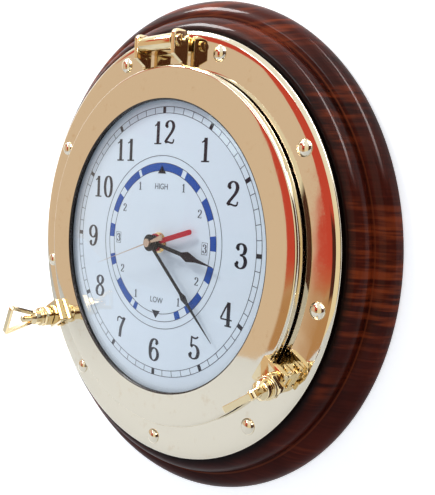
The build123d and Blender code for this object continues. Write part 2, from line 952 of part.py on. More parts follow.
def hinge_ear(side):
    """Plate brazed to the door's edge, round at its top corners, that carries the hinge pin."""
    back = flange_face + ear_back_gap
    front = hinge_depth + ear_front
    top = hinge_radius + ear_top
    inner, outer = sorted((side * ear_inner, side * ear_outer))
    foot = door_radius - ear_thick
    points = [
        (back, foot),
        (door_front, foot),
        (door_front, door_radius),
        (front, door_radius + ear_shoulder),
        (front, top),
        (back, top),
    ]
    body = cheek(points, inner, outer)
    body = fillet(body.edges().filter_by(Axis.X).group_by(Axis.Z)[-1], ear_round)
    body -= rod(door_radius, 0, door_front)
    return body - hinge_pin()


def hinge_pin():
    """Slotted screw pin through both ears and the knuckle, its head on the right."""
    face = ear_outer + hinge_head_thick
    body = cross_rod(hinge_pin_od / 2, -ear_outer, ear_outer, hinge_depth, hinge_radius)
    body += cross_rod(hinge_head_od / 2, ear_outer, face, hinge_depth, hinge_radius)
    return body - Pos(0, -hinge_depth, hinge_radius) * screw_slot(hinge_head_od / 2, face, 1)


def door_fork():
    """Slotted block on the door's edge that a swing bolt drops into, crowned about the bolt's pivot
    so that the nut clears it all the way out."""
    half = fork_width / 2
    low = door_radius - fork_foot
    high = dog_radius + fork_nose
    under = clevis_top + fork_gap
    body = block((-half, half), (door_front, fork_front), (low, high))
    body = fillet(body.edges().filter_by(Axis.Y), fork_round)
    body -= block(
        (-half - cut_over, half + cut_over),
        (door_front - cut_over, under),
        (door_radius - door_edge_round, high + cut_over),
    )
    crown = fork_front - pivot_depth
    body -= block(
        (-half - cut_over, half + cut_over), (pivot_depth, fork_front + cut_over), (dog_radius, high + cut_over)
    ) - cross_rod(crown, -half - cut_over, half + cut_over, pivot_depth, dog_radius)
    slot = bolt_od / 2 + fork_slot_gap
    body -= rod(slot, door_front - cut_over, fork_front + cut_over, 0, dog_radius)
    depths = (door_front - cut_over, fork_front + cut_over)
    body -= block((-slot, slot), depths, (dog_radius, high + cut_over))
    return body


# Dogs

def swing_bolt():
    """Eye bolt that pivots in the clevis."""
    body = cross_rod(eye_radius, -eye_width / 2, eye_width / 2, pivot_depth, dog_radius)
    body += rod(bolt_od / 2, pivot_depth, bolt_tip - bolt_chamfer, 0, dog_radius)
    tip = Pos(0, -(bolt_tip - bolt_chamfer / 2), dog_radius) * Rot(90, 0, 0) * Cone(
        bolt_od / 2, bolt_od / 2 - bolt_chamfer, bolt_chamfer
    )
    body += tip
    bore = pivot_screw_od / 2 + running_gap
    return body - cross_rod(bore, -eye_width, eye_width, pivot_depth, dog_radius)


def loop_nut(angle):
    """Square nut with a collar, a boss and a loop of flat strip for the fingers, turned by an angle."""
    base = Rectangle(nut_base_width, nut_base_width) & Circle(nut_base_corners / 2)
    body = front_plate(base, nut_back, nut_base_height)
    body += rod(collar_od / 2, collar_back, collar_front)
    body += rod(nut_od / 2, collar_front, nut_front - nut_dome)
    body += Pos(0, -(nut_front - nut_dome / 2), 0) * Rot(90, 0, 0) * Cone(
        nut_od / 2, nut_od / 2 - nut_dome, nut_dome
    )
    near = loop_near_width / 2
    far = loop_far_width / 2
    outer = Polyline(
        [(near, -loop_back), (far, -loop_front), (-far, -loop_front), (-near, -loop_back)], close=True
    )
    slope = (far - near) / loop_length
    side = strip_thick * sqrt(1 + slope**2)
    top = loop_front - strip_thick
    inner = Polyline(
        [
            (near - side, -loop_back),
            (far - side - slope * strip_thick, -top),
            (-far + side + slope * strip_thick, -top),
            (-near + side, -loop_back),
        ],
        close=True,
    )
    face = make_face(outer) - make_face(inner)
    body += Pos(0, 0, -strip_width / 2) * extrude(face, strip_width)
    bore = bolt_od / 2 + running_gap
    body -= rod(bore, nut_back - cut_over, loop_front - strip_thick)
    return Pos(0, 0, dog_radius) * Rot(0, angle, 0) * body


def leaned(side, shape):
    """Swing a dog's piece out about its pivot, as far as that dog leans."""
    swing = Pos(0, -pivot_depth, dog_radius) * Rot(-dog_leans[side], 0, 0)
    return swing * Pos(0, pivot_depth, -dog_radius) * shape


# Every piece, by the name of its node

raised = Pos(0, 0, dial_rise)
pieces = {
    "wooden_base": wooden_base(),
    "hanger_plate": hanger_plate(),
    "hanger_screws": Compound(children=[hanger_screw(-1), hanger_screw(1)]),
    "porthole_flange": flange(),
    "flange_pins": Compound(children=ring_of(pin_count, pin_start_angle, flange_pin())),
    "hinge_knuckle": hinge_knuckle(),
    "dial_board": dial_board(),
    "dial_board_screws": Compound(
        children=ring_of(board_screw_count, 360 / board_screw_count / 2, board_screw())
    ),
    "dial_plate": dial_plate(),
    "movement_washer": raised * tube(washer_od / 2, post_od / 2, case_front, base_depth),
    "dial_washer": raised * tube(nut_washer_od / 2, post_od / 2, dial_face, nut_washer_front),
    "dial_nut": raised * centre_nut(),
    "movement_case": raised * movement_case(),
    "movement_cover": raised * movement_cover(),
    "stepper_motor": raised * stepper_motor(),
    "circuit_board": raised * circuit_board(),
    "battery": raised * battery(),
    "positive_contact": raised * battery_contact(1),
    "negative_contact": raised * battery_contact(-1),
    "tide_wheel": raised * tide_wheel(),
    "hour_wheel": raised * hour_wheel(),
    "minute_wheel": raised * minute_wheel(),
    "second_wheel": raised * second_wheel(),
    "third_wheel": raised * third_wheel(),
    "motion_wheel": raised * motion_wheel(),
    "tide_idler": raised * tide_idler(),
    "time_set_knob": raised * setting_knob("time_knob", "motion"),
    "tide_set_knob": raised * setting_knob("tide_knob", "idler"),
    "tide_hand": raised * tide_hand(),
    "hour_hand": raised * hour_hand(),
    "minute_hand": raised * minute_hand(),
    "second_hand": raised * second_hand(),
    "door_ring": door_ring(),
    "door_glass": door_glass(),
    "glass_gasket": glass_gasket(),
    "glass_retainer": glass_retainer(),
    "retainer_screws": Compound(children=ring_of(retainer_screw_count, 0, retainer_screw())),
    "hinge_ears": Compound(children=[hinge_ear(-1), hinge_ear(1)]),
    "hinge_pin": hinge_pin(),
}
for side, angle in dog_angles.items():
    pieces[f"{side}_dog_clevis"] = around(angle, clevis())
    pieces[f"{side}_pivot_screw"] = around(angle, pivot_screw())
    pieces[f"{side}_door_fork"] = around(angle, door_fork())
    pieces[f"{side}_swing_bolt"] = around(angle, leaned(side, swing_bolt()))
    pieces[f"{side}_loop_nut"] = around(angle, leaned(side, loop_nut(loop_angles[side] - angle)))

os.makedirs("parts", exist_ok=True)
for name, piece in pieces.items():
    export_step(piece, f"parts/{name}.step")
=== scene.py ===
"""Looks of a wall tide clock: a hinged brass porthole on a turned rosewood base, with a printed dial."""

import logging
import math
from contextlib import contextmanager
from dataclasses import dataclass, field
from enum import Enum
from typing import Any, Iterable, Iterator, Sequence

import bmesh
import bpy
import numpy as np
from mathutils import Matrix


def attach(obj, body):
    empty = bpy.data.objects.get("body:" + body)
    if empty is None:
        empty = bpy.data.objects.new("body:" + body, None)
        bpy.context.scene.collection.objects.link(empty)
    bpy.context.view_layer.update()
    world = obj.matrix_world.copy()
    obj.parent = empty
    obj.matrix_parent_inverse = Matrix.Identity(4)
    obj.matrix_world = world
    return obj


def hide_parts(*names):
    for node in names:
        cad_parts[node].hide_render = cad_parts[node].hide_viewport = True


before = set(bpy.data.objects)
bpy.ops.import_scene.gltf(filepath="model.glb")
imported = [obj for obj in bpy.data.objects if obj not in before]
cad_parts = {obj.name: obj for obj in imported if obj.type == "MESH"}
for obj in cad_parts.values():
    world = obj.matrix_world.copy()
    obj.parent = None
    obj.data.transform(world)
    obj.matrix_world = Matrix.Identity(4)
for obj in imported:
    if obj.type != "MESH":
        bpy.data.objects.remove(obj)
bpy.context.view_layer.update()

log = logging.getLogger("tide_clock")

Colour = tuple[float, float, float]
Spot = tuple[float, float]
Material = bpy.types.Material
Mesh = bpy.types.Mesh
Object = bpy.types.Object
Faces = np.ndarray
Surface = tuple[np.ndarray, Faces]
MM = 0.001
QUAD = np.array([[0, 1, 2, 3]])
ROUND = 256
CLOSE = 1e-7
LOOSE = 1e-6


class Body(Enum):
    """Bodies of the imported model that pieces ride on."""

    BASE = "base"
    DOOR = "door"
    LEFT_DOG = "left_dog"
    RIGHT_DOG = "right_dog"
    LEFT_NUT = "left_nut"
    RIGHT_NUT = "right_nut"


class Side(Enum):
    """The two dogs, by the side of the dial that they clamp."""

    LEFT = "left"
    RIGHT = "right"


# Shader maths

class Value:
    """A node socket that takes part in Python arithmetic; each operation adds a Math node."""

    def __init__(self, graph: "Graph", socket: bpy.types.NodeSocket) -> None:
        """Keep the socket and the graph it belongs to."""
        self.graph = graph
        self.socket = socket

    def math(self, operation: str, *others: "Value | float", first: bool = True) -> "Value":
        """Add a Math node.

        Args:
            operation: Blender's name of the operation.
            others: The other operands.
            first: True if this value is the first operand, False if it is the last.

        Returns:
            The node's result.
        """
        operands = [self, *others] if first else [*others, self]
        return self.graph.add("ShaderNodeMath", {"operation": operation}, dict(enumerate(operands)))

    def __add__(self, other: "Value | float") -> "Value":
        """Sum."""
        return self.math("ADD", other)

    __radd__ = __add__

    def __sub__(self, other: "Value | float") -> "Value":
        """Difference."""
        return self.math("SUBTRACT", other)

    def __rsub__(self, other: float) -> "Value":
        """Difference from a number."""
        return self.math("SUBTRACT", other, first=False)

    def __mul__(self, other: "Value | float") -> "Value":
        """Product."""
        return self.math("MULTIPLY", other)

    __rmul__ = __mul__

    def other(self, output: str) -> "Value":
        """Another output of the same node."""
        return Value(self.graph, self.socket.node.outputs[output])

    def step(self, low: float, high: float) -> "Value":
        """Smooth rise from 0 at low to 1 at high, or a fall where high is below low."""
        settings = {"interpolation_type": "SMOOTHSTEP"}
        if low < high:
            return self.graph.add("ShaderNodeMapRange", settings, {0: self, 1: low, 2: high})
        return 1 - self.graph.add("ShaderNodeMapRange", settings, {0: self, 1: high, 2: low})


class Graph:
    """A material's or the world's node tree, emptied, with one way to add any node."""

    def __init__(self, tree: bpy.types.NodeTree) -> None:
        """Empty the tree and keep it."""
        tree.nodes.clear()
        self.tree = tree

    def add(
        self,
        kind: str,
        settings: dict[str, Any] | None = None,
        inputs: dict[int | str, Any] | None = None,
        output: int | str = 0,
    ) -> Value:
        """Add a node.

        Args:
            kind: The node's type name.
            settings: Its settings, set first.
            inputs: Values or links of its sockets, by number or name.
            output: The output to give back, by number or name.

        Returns:
            The chosen output, ready for arithmetic.
        """
        node = self.tree.nodes.new(kind)
        for name, setting in (settings or {}).items():
            setattr(node, name, setting)
        for name, given in (inputs or {}).items():
            if isinstance(given, Value):
                self.tree.links.new(given.socket, node.inputs[name])
            else:
                node.inputs[name].default_value = self._fitted(node.inputs[name], given)
        return Value(self, node.outputs[output]) if len(node.outputs) else Value(self, node.inputs[0])

    @staticmethod
    def _fitted(socket: bpy.types.NodeSocket, given: Any) -> Any:
        """Give a three-part colour the fourth part that a colour socket wants."""
        if socket.type == "RGBA" and len(given) == 3:
            return (*given, 1.0)
        return given

    def blend(self, share: Value | float, first: Value | Colour, second: Value | Colour) -> Value:
        """Mix two colours by a share."""
        return self.add("ShaderNodeMix", {"data_type": "RGBA"}, {0: share, 6: first, 7: second}, 2)

    def place(self, scale: Colour = (1.0, 1.0, 1.0), turn: Colour = (0.0, 0.0, 0.0)) -> Value:
        """Object coordinates, scaled and turned."""
        spot = self.add("ShaderNodeTexCoord", output="Object")
        return self.add("ShaderNodeMapping", None, {"Vector": spot, "Scale": scale, "Rotation": turn})

    def from_axis(self) -> tuple[Value, Value, Value]:
        """Distance from the clock's axis, and the place's own Y and Z."""
        x = self.add("ShaderNodeSeparateXYZ", None, {0: self.place()}, "X")
        z = x.other("Z")
        return (x * x + z * z).math("POWER", 0.5), x.other("Y"), z

    def rays(self) -> tuple[Value, Value]:
        """1 for what the eye sees, straight or through glass, and 1 for what a mirror sees."""
        path = self.add("ShaderNodeLightPath", output="Is Camera Ray")
        return path.math("MAXIMUM", path.other("Is Transmission Ray")), path.other("Is Glossy Ray")

    def noise(self, where: Value, scale: float, detail: float = 3.0, rough: float = 0.5) -> Value:
        """Fractal noise between 0 and 1."""
        inputs = {"Vector": where, "Scale": scale, "Detail": detail, "Roughness": rough}
        return self.add("ShaderNodeTexNoise", None, inputs)

    def bump(self, height: Value, strength: float, distance: float, under: Value | None = None) -> Value:
        """Bumped normal from a height."""
        inputs: dict[int | str, Any] = {"Height": height, "Strength": strength, "Distance": distance}
        if under is not None:
            inputs["Normal"] = under
        return self.add("ShaderNodeBump", None, inputs)

    def principled(self, inputs: dict[int | str, Any]) -> Value:
        """Principled shader."""
        return self.add("ShaderNodeBsdfPrincipled", None, inputs, "BSDF")

    def surface(self, shader: Value) -> None:
        """Send a shader to the output."""
        self.add("ShaderNodeOutputMaterial", None, {"Surface": shader})


def new_graph(name: str) -> tuple[Material, Graph]:
    """Make an empty material and its graph."""
    material = bpy.data.materials.new(name)
    material.use_nodes = True
    return material, Graph(material.node_tree)


# Finishes

@dataclass(frozen=True)
class PolishedBrass:
    """Hand-polished brass: a mirror with slow waves, hairlines and a little tarnish."""

    name: str = "polished_brass"
    tint: Colour = (0.84, 0.76, 0.60)
    tarnish: Colour = (0.72, 0.54, 0.32)
    wave: float = 0.12
    gloss: float = 0.045
    # throat, rabbet and undercut bound the painted shade on the door's bore wall and relieved rabbet
    throat: float = 0.0
    rabbet: float = 0.0
    undercut: float = 0.1205

    def make(self) -> Material:
        """Build the material.

        Returns:
            The material; with a throat, the bore's wall and the depths of the rabbet are painted
            near-black: painted shade where the door's bore and gaps lie in shadow.
        """
        material, g = new_graph(self.name)
        spot = g.place()
        slow = g.noise(spot, 26.0, 2.0)
        fine = g.noise(spot, 900.0, 3.0, 0.6)
        spots = g.noise(spot, 120.0, 4.0, 0.6).step(0.58, 0.78)
        colour = g.blend(spots * 0.35, self.tint, self.tarnish)
        rough = self.gloss + fine.step(0.45, 0.75) * 0.03 + spots * 0.05
        metal: Value | float = 1.0
        # Painted shade: the bore wall and the relieved rabbet are painted near-black, dull and unmetallic,
        # in place of lit brass
        if self.throat:
            reach, y, _ = g.from_axis()
            painted_shade = reach.step(self.throat + 0.0003, self.throat - 0.0001)
            under = (y * -1.0).step(self.rabbet + 0.0001, self.rabbet)
            under = under * reach.step(self.undercut, self.undercut + 0.0005)
            painted_shade = painted_shade.math("MAXIMUM", under)
            colour = g.blend(painted_shade, colour, (0.018, 0.010, 0.007))
            rough = rough + painted_shade * 0.22
            metal = 1 - painted_shade
        shader = g.principled({
            "Base Color": colour,
            "Metallic": metal,
            "Roughness": rough,
            "Normal": g.bump(slow, self.wave, 0.0012, g.bump(fine, 0.02, 0.00004)),
        })
        g.surface(shader)
        return material


@dataclass(frozen=True)
class Rosewood:
    """Dark red-brown rosewood with a rippled figure across the grain, under a gloss lacquer; a painted
    highlight runs along a bead's crest and painted shade darkens the wood next to the flange.
    """

    name: str = "rosewood"
    dark: Colour = (0.024, 0.0040, 0.0024)
    middle: Colour = (0.076, 0.0100, 0.0046)
    bright: Colour = (0.30, 0.048, 0.011)
    # Painted highlight: a thin lighter orange line along the lower bead's inner crest
    worn_colour: Colour = (0.26, 0.055, 0.016)
    worn_from: Spot = (0.1650, 0.1656)
    worn_to: Spot = (0.1666, 0.1660)
    # Painted shade: a near-black ring on the wood's front next to the flange
    polish_colour: Colour = (0.006, 0.0022, 0.002)
    polish: Spot = (0.1600, 0.1535)
    front: Spot = (-0.010, -0.014)

    def make(self) -> Material:
        """Build the material.

        Returns:
            The material.
        """
        material, g = new_graph(self.name)
        wander = g.noise(g.place((11.0, 11.0, 16.0)), 1.0, 2.0)
        patch = g.noise(g.place((8.0, 8.0, 13.0)), 1.0, 2.0)
        curl = g.noise(g.place((20.0, 24.0, 260.0), (0.0, -0.12, 0.0)), 1.0, 2.0, 0.5)
        fibre = g.noise(g.place((40.0, 60.0, 620.0), (0.0, 0.12, 0.0)), 1.0, 3.0, 0.6)
        vein = g.noise(g.place((14.0, 16.0, 70.0), (0.0, 0.08, 0.0)), 1.0, 3.0, 0.6)
        glow = (curl * 0.75 + fibre * 0.25).step(0.44, 0.64) * patch.step(0.40, 0.62)
        base = g.blend((wander * 0.7 + fibre * 0.3).step(0.30, 0.66), self.dark, self.middle)
        base = g.blend(glow * 0.8, base, self.bright)
        streak = vein.step(0.60, 0.76)
        colour = g.blend(streak * 0.6, base, (0.008, 0.0024, 0.002))
        reach, y, z = g.from_axis()
        # Painted highlight along the lower bead's inner crest
        edge_highlight = reach.step(*self.worn_from) * reach.step(*self.worn_to)
        colour = g.blend(edge_highlight * 0.45, colour, self.worn_colour)
        # Painted shade: the wood's front faces darken to near-black next to the flange
        polish = reach.step(*self.polish) * y.step(*self.front)
        colour = g.blend(polish, colour, self.polish_colour)
        pores = g.noise(g.place((700.0, 700.0, 60.0)), 1.0, 2.0).step(0.62, 0.75)
        shader = g.principled({
            "Base Color": colour,
            "Roughness": 0.30 + fibre * 0.2,
            "Normal": g.bump(pores * -1.0 + fibre * 0.3, 0.05, 0.0002),
            "Specular IOR Level": 0.05,
            "Coat Weight": 0.03 + z.step(-0.12, 0.06) * 0.19,
            "Coat Roughness": 0.05,
            "Coat IOR": 1.45,
        })
        g.surface(shader)
        return material


@dataclass(frozen=True)
class Plain:
    """A coated, moulded or plated surface with a fine texture and a little unevenness in its tone."""

    name: str
    colour: Colour
    rough: float = 0.4
    metal: float = 0.0
    grain: float = 900.0
    relief: float = 0.05
    depth: float = 0.00005
    uneven: float = 0.12
    coat: float = 0.0
    shine: float = 0.5

    def make(self) -> Material:
        """Build the material.

        Returns:
            The material.
        """
        material, g = new_graph(self.name)
        spot = g.place()
        fine = g.noise(spot, self.grain, 3.0, 0.6)
        slow = g.noise(spot, 60.0, 3.0)
        darker = tuple(part * (1 - 2 * self.uneven) for part in self.colour)
        colour = g.blend(slow.step(0.3, 0.75) * 0.5 + fine * 0.3, self.colour, darker)
        shader = g.principled({
            "Base Color": colour,
            "Metallic": self.metal,
            "Roughness": self.rough + (fine - 0.5) * 0.16,
            "Normal": g.bump(fine, self.relief, self.depth),
            "Specular IOR Level": self.shine,
            "Coat Weight": self.coat,
        })
        g.surface(shader)
        return material


@dataclass(frozen=True)
class ClearGlass:
    """Clear glass that lets lamps reach the dial behind it."""

    name: str = "clear_glass"
    bend: float = 1.27

    def make(self) -> Material:
        """Build the material.

        Returns:
            The material.
        """
        material, g = new_graph(self.name)
        smear = g.noise(g.place(), 35.0, 4.0, 0.6).step(0.55, 0.85)
        pane = g.principled({
            "Base Color": (0.985, 0.995, 1.0),
            "Roughness": 0.004 + smear * 0.012,
            "IOR": self.bend,
            "Transmission Weight": 1.0,
        })
        through = g.add("ShaderNodeBsdfTransparent", None, {"Color": (0.96, 0.98, 0.985)}, "BSDF")
        shadow = g.add("ShaderNodeLightPath", output="Is Shadow Ray")
        diffuse = shadow.other("Is Diffuse Ray")
        light = shadow.math("MAXIMUM", diffuse)
        g.surface(g.add("ShaderNodeMixShader", None, {0: light, 1: pane, 2: through}))
        return material


@dataclass(frozen=True)
class BatteryJacket:
    """Printed sleeve of a round cell lying along X: a dark body and a copper end."""

    name: str = "battery_jacket"
    split: float = 0.012

    def make(self) -> Material:
        """Build the material.

        Returns:
            The material.
        """
        material, g = new_graph(self.name)
        along = g.add("ShaderNodeSeparateXYZ", None, {0: g.place()}, "X")
        end = along.step(self.split - 0.0002, self.split + 0.0002)
        scuff = g.noise(g.place(), 300.0, 3.0)
        colour = g.blend(end, (0.03, 0.032, 0.036), (0.62, 0.33, 0.14))
        shader = g.principled({
            "Base Color": colour,
            "Metallic": end * 0.9,
            "Roughness": 0.25 + scuff * 0.15,
            "Coat Weight": 0.3,
        })
        g.surface(shader)
        return material


# Surfaces

def cos_sin(degrees: float) -> Spot:
    """Cosine and sine of an angle."""
    return math.cos(math.radians(degrees)), math.sin(math.radians(degrees))


def circle(steps: int) -> np.ndarray:
    """Angles of a full turn in equal steps, in radians."""
    return np.linspace(0, 2 * np.pi, steps, endpoint=False)


def oblong(wide: float, high: float) -> list[Spot]:
    """Corners of an oblong about the origin."""
    x, y = wide / 2, high / 2
    return [(-x, -y), (x, -y), (x, y), (-x, y)]


def arc_through(start: Any, way: Any, end: Any, steps: int) -> np.ndarray:
    """Points of the circle arc from start to end through a third point.

    Args:
        start: First point of the arc.
        way: A point on the way.
        end: Last point of the arc.
        steps: Number of points.

    Returns:
        The points, one per row.
    """
    a, b, c = (np.asarray(p, float) for p in (start, way, end))
    rows = 2 * np.array([b - a, c - a])
    centre = np.linalg.solve(rows, np.array([b @ b - a @ a, c @ c - a @ a]))
    angles = np.unwrap([math.atan2(*(p - centre)[::-1]) for p in (a, b, c)])
    turn = np.linspace(angles[0], angles[2], steps)
    radius = np.linalg.norm(a - centre)
    return centre + radius * np.stack([np.cos(turn), np.sin(turn)], axis=1)


def rounded(points: Sequence[Sequence[float]], radii: Sequence[float], steps: int = 7) -> np.ndarray:
    """Closed outline whose corners are circle arcs, each held flat by a point just outside its ends.

    Args:
        points: Corners in order.
        radii: Rounding of each corner; 0 keeps it square.
        steps: Points on each arc.

    Returns:
        The outline, one point per row.
    """
    corners = np.asarray(points, float)
    parts = []
    befores, afters = np.roll(corners, 1, 0), np.roll(corners, -1, 0)
    for here, before, after, radius in zip(corners, befores, afters, radii):
        if radius == 0:
            parts.append(here[None])
            continue
        back = (before - here) / np.linalg.norm(before - here)
        on = (after - here) / np.linalg.norm(after - here)
        half = math.acos(float(np.clip(back @ on, -1, 1))) / 2
        cut = radius / math.tan(half)
        centre = here + (back + on) / np.linalg.norm(back + on) * radius / math.sin(half)
        way = here + (centre - here) * (1 - radius / np.linalg.norm(centre - here))
        arc = arc_through(here + back * cut, way, here + on * cut, steps)
        hold = min(0.25 * radius, 0.3)
        parts.append(np.vstack([here + back * (cut + hold), arc, here + on * (cut + hold)]))
    return np.vstack(parts)


def roll_off(end: Sequence[float], stages: Sequence[Spot], steps: int = 10) -> np.ndarray:
    """Turned rim: arcs that lean the face over by stages until its normal points outward.

    Args:
        end: The rim's radius, and the depth of the flat face.
        stages: For each arc its radius and the tilt in degrees at its end.
        steps: Points on each arc.

    Returns:
        Radius and depth of each point, from the flat face outward.
    """
    bends = np.repeat([bend for bend, _ in stages], steps)
    starts = [0.0, *(tilt for _, tilt in stages[:-1])]
    tilts = np.radians([np.linspace(a, b, steps + 1) for a, (_, b) in zip(starts, stages)])
    out = np.diff(np.sin(tilts), axis=1).ravel() * bends
    drop = np.diff(np.cos(tilts), axis=1).ravel() * bends
    radius = end[0] - out.sum() + np.concatenate([[0.0], np.cumsum(out)])
    return np.column_stack([radius, end[1] + np.concatenate([[0.0], np.cumsum(drop)])])


def grid_faces(rows: int, columns: int, wrap_rows: bool, wrap_columns: bool) -> Faces:
    """Quads of a grid of points laid out row by row.

    Args:
        rows: Number of rows.
        columns: Number of columns.
        wrap_rows: True if the last row joins the first.
        wrap_columns: True if the last column joins the first.

    Returns:
        One quad of point numbers per row.
    """
    down, across = np.arange(rows - (not wrap_rows)), np.arange(columns - (not wrap_columns))
    r, c = np.meshgrid(down, across, indexing="ij")
    nr, nc = (r + 1) % rows, (c + 1) % columns
    quads = np.stack([r * columns + c, r * columns + nc, nr * columns + nc, nr * columns + c], axis=-1)
    return quads.reshape(-1, 4)


def turn_about_axis(outline: np.ndarray, segments: int) -> Surface:
    """Turn (radius, depth) points about the clock's axis: x = r sin a, y = -depth, z = r cos a.

    Args:
        outline: Closed outline in millimetres.
        segments: Steps round the axis.

    Returns:
        Points in metres and quads.
    """
    a = circle(segments)[:, None]
    r, d = outline[:, 0], outline[:, 1]
    points = np.stack([r * np.sin(a), -d + 0 * a, r * np.cos(a)], axis=-1).reshape(-1, 3) * MM
    return points, grid_faces(segments, len(outline), True, True)


def carry(outline: np.ndarray, path: np.ndarray, up: np.ndarray) -> Surface:
    """Carry a closed (across, up) outline round a closed flat path, mitred at its corners.

    Args:
        outline: The strip's section, in millimetres.
        path: Points of the path, in millimetres.
        up: Direction square to the path's plane.

    Returns:
        Points in millimetres and quads.
    """
    ahead = np.roll(path, -1, 0) - path
    ahead /= np.linalg.norm(ahead, axis=1, keepdims=True)
    behind = np.roll(ahead, 1, 0)
    along = ahead + behind
    along /= np.linalg.norm(along, axis=1, keepdims=True)
    stretch = 1 / np.clip(np.sum(along * ahead, axis=1), 0.3, 1)
    across = np.cross(along, up) * stretch[:, None]
    points = path[:, None] + outline[None, :, :1] * across[:, None] + outline[None, :, 1:] * up
    return points.reshape(-1, 3), grid_faces(len(path), len(outline), True, True)


def joined(parts: Iterable[Surface]) -> Surface:
    """Put several surfaces into one set of points and quads."""
    points, faces, count = [], [], 0
    for part_points, part_faces in parts:
        points.append(part_points)
        faces.append(part_faces + count)
        count += len(part_points)
    return np.vstack(points), np.vstack(faces)


def around_axis(points: np.ndarray, degrees: float) -> np.ndarray:
    """Turn points clockwise about the clock's axis, as the dial is seen."""
    c, s = cos_sin(degrees)
    return points @ np.array([[c, 0, s], [0, 1, 0], [-s, 0, c]]).T


# Pieces

def put(name: str, data: bpy.types.ID) -> Object:
    """Add an object to the scene, at the origin."""
    item = bpy.data.objects.new(name, data)
    bpy.context.scene.collection.objects.link(item)
    return item


def new_mesh(name: str, points: Any, faces: Any) -> Mesh:
    """Make a mesh from points and faces."""
    mesh = bpy.data.meshes.new(name)
    mesh.from_pydata(np.asarray(points).tolist(), [], [list(face) for face in faces])
    return mesh


def evaluated(item: Object) -> Mesh:
    """Mesh of an object with its modifiers applied."""
    return bpy.data.meshes.new_from_object(item.evaluated_get(bpy.context.evaluated_depsgraph_get()))


@contextmanager
def edited(mesh: Mesh) -> Iterator[bmesh.types.BMesh]:
    """Open a mesh for editing and write it back."""
    work = bmesh.new()
    work.from_mesh(mesh)
    yield work
    work.to_mesh(mesh)
    work.free()


def add_piece(name: str, points: np.ndarray, faces: Faces, sharp: float = 35.0) -> Object:
    """Make a mesh object with closed seams, outward faces and smooth shading between sharp edges.

    Args:
        name: The piece's name.
        points: Points in metres.
        faces: Quads.
        sharp: Edges that bend by more than this many degrees stay sharp.

    Returns:
        The object, at the origin.
    """
    mesh = new_mesh(name, points, faces.tolist())
    settle(mesh, sharp)
    return put(name, mesh)


def smooth(mesh: Mesh) -> None:
    """Shade every face of a mesh smooth."""
    mesh.polygons.foreach_set("use_smooth", np.ones(len(mesh.polygons), dtype=bool))


def settle(mesh: Mesh, sharp: float, merge: float = CLOSE) -> None:
    """Merge doubles, turn faces outward and mark sharp edges."""
    with edited(mesh) as work:
        bmesh.ops.remove_doubles(work, verts=work.verts[:], dist=merge)
        bmesh.ops.dissolve_degenerate(work, edges=work.edges[:], dist=merge)
        bmesh.ops.recalc_face_normals(work, faces=work.faces[:])
    smooth(mesh)
    mesh.set_sharp_from_angle(angle=math.radians(sharp))


def dress(
    piece: Object, body: Body, nodes: Sequence[str], finish: Material
) -> None:
    """Put a piece on its body in place of its nodes, with its finish.

    Args:
        piece: The new piece.
        body: The body that it moves with.
        nodes: The nodes that it stands for.
        finish: Its material.
    """
    piece.data.materials.clear()
    piece.data.materials.append(finish)
    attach(piece, body.value)
    if nodes:
        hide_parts(*nodes)
    log.info("%s rides on %s, %d faces", piece.name, body.value, len(piece.data.polygons))


def eased_copy(node: str, name: str, ease: float) -> Object:
    """Copy a node's solid and ease its edges, as a file and a buff leave them.

    Args:
        node: The node to copy.
        name: The piece's name.
        ease: Width of the eased edge, in millimetres.

    Returns:
        The piece.
    """
    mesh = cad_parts[node].data.copy()
    mesh.name = name
    flat = math.radians(1.0)
    with edited(mesh) as work:
        bmesh.ops.remove_doubles(work, verts=work.verts[:], dist=LOOSE)
        bmesh.ops.dissolve_limit(work, angle_limit=flat, verts=work.verts[:], edges=work.edges[:])
        bmesh.ops.recalc_face_normals(work, faces=work.faces[:])
    smooth(mesh)
    piece = put(name, mesh)
    bevel = piece.modifiers.new("eased", "BEVEL")
    bevel.width = ease * MM
    bevel.segments = 3
    bevel.limit_method = "ANGLE"
    bevel.angle_limit = math.radians(40)
    bevel.harden_normals = True
    bevel.use_clamp_overlap = True
    return piece


def made(finish: PolishedBrass | Rosewood | Plain | ClearGlass | BatteryJacket) -> Any:
    """Field that starts as a finish's material."""
    return field(default_factory=finish.make)


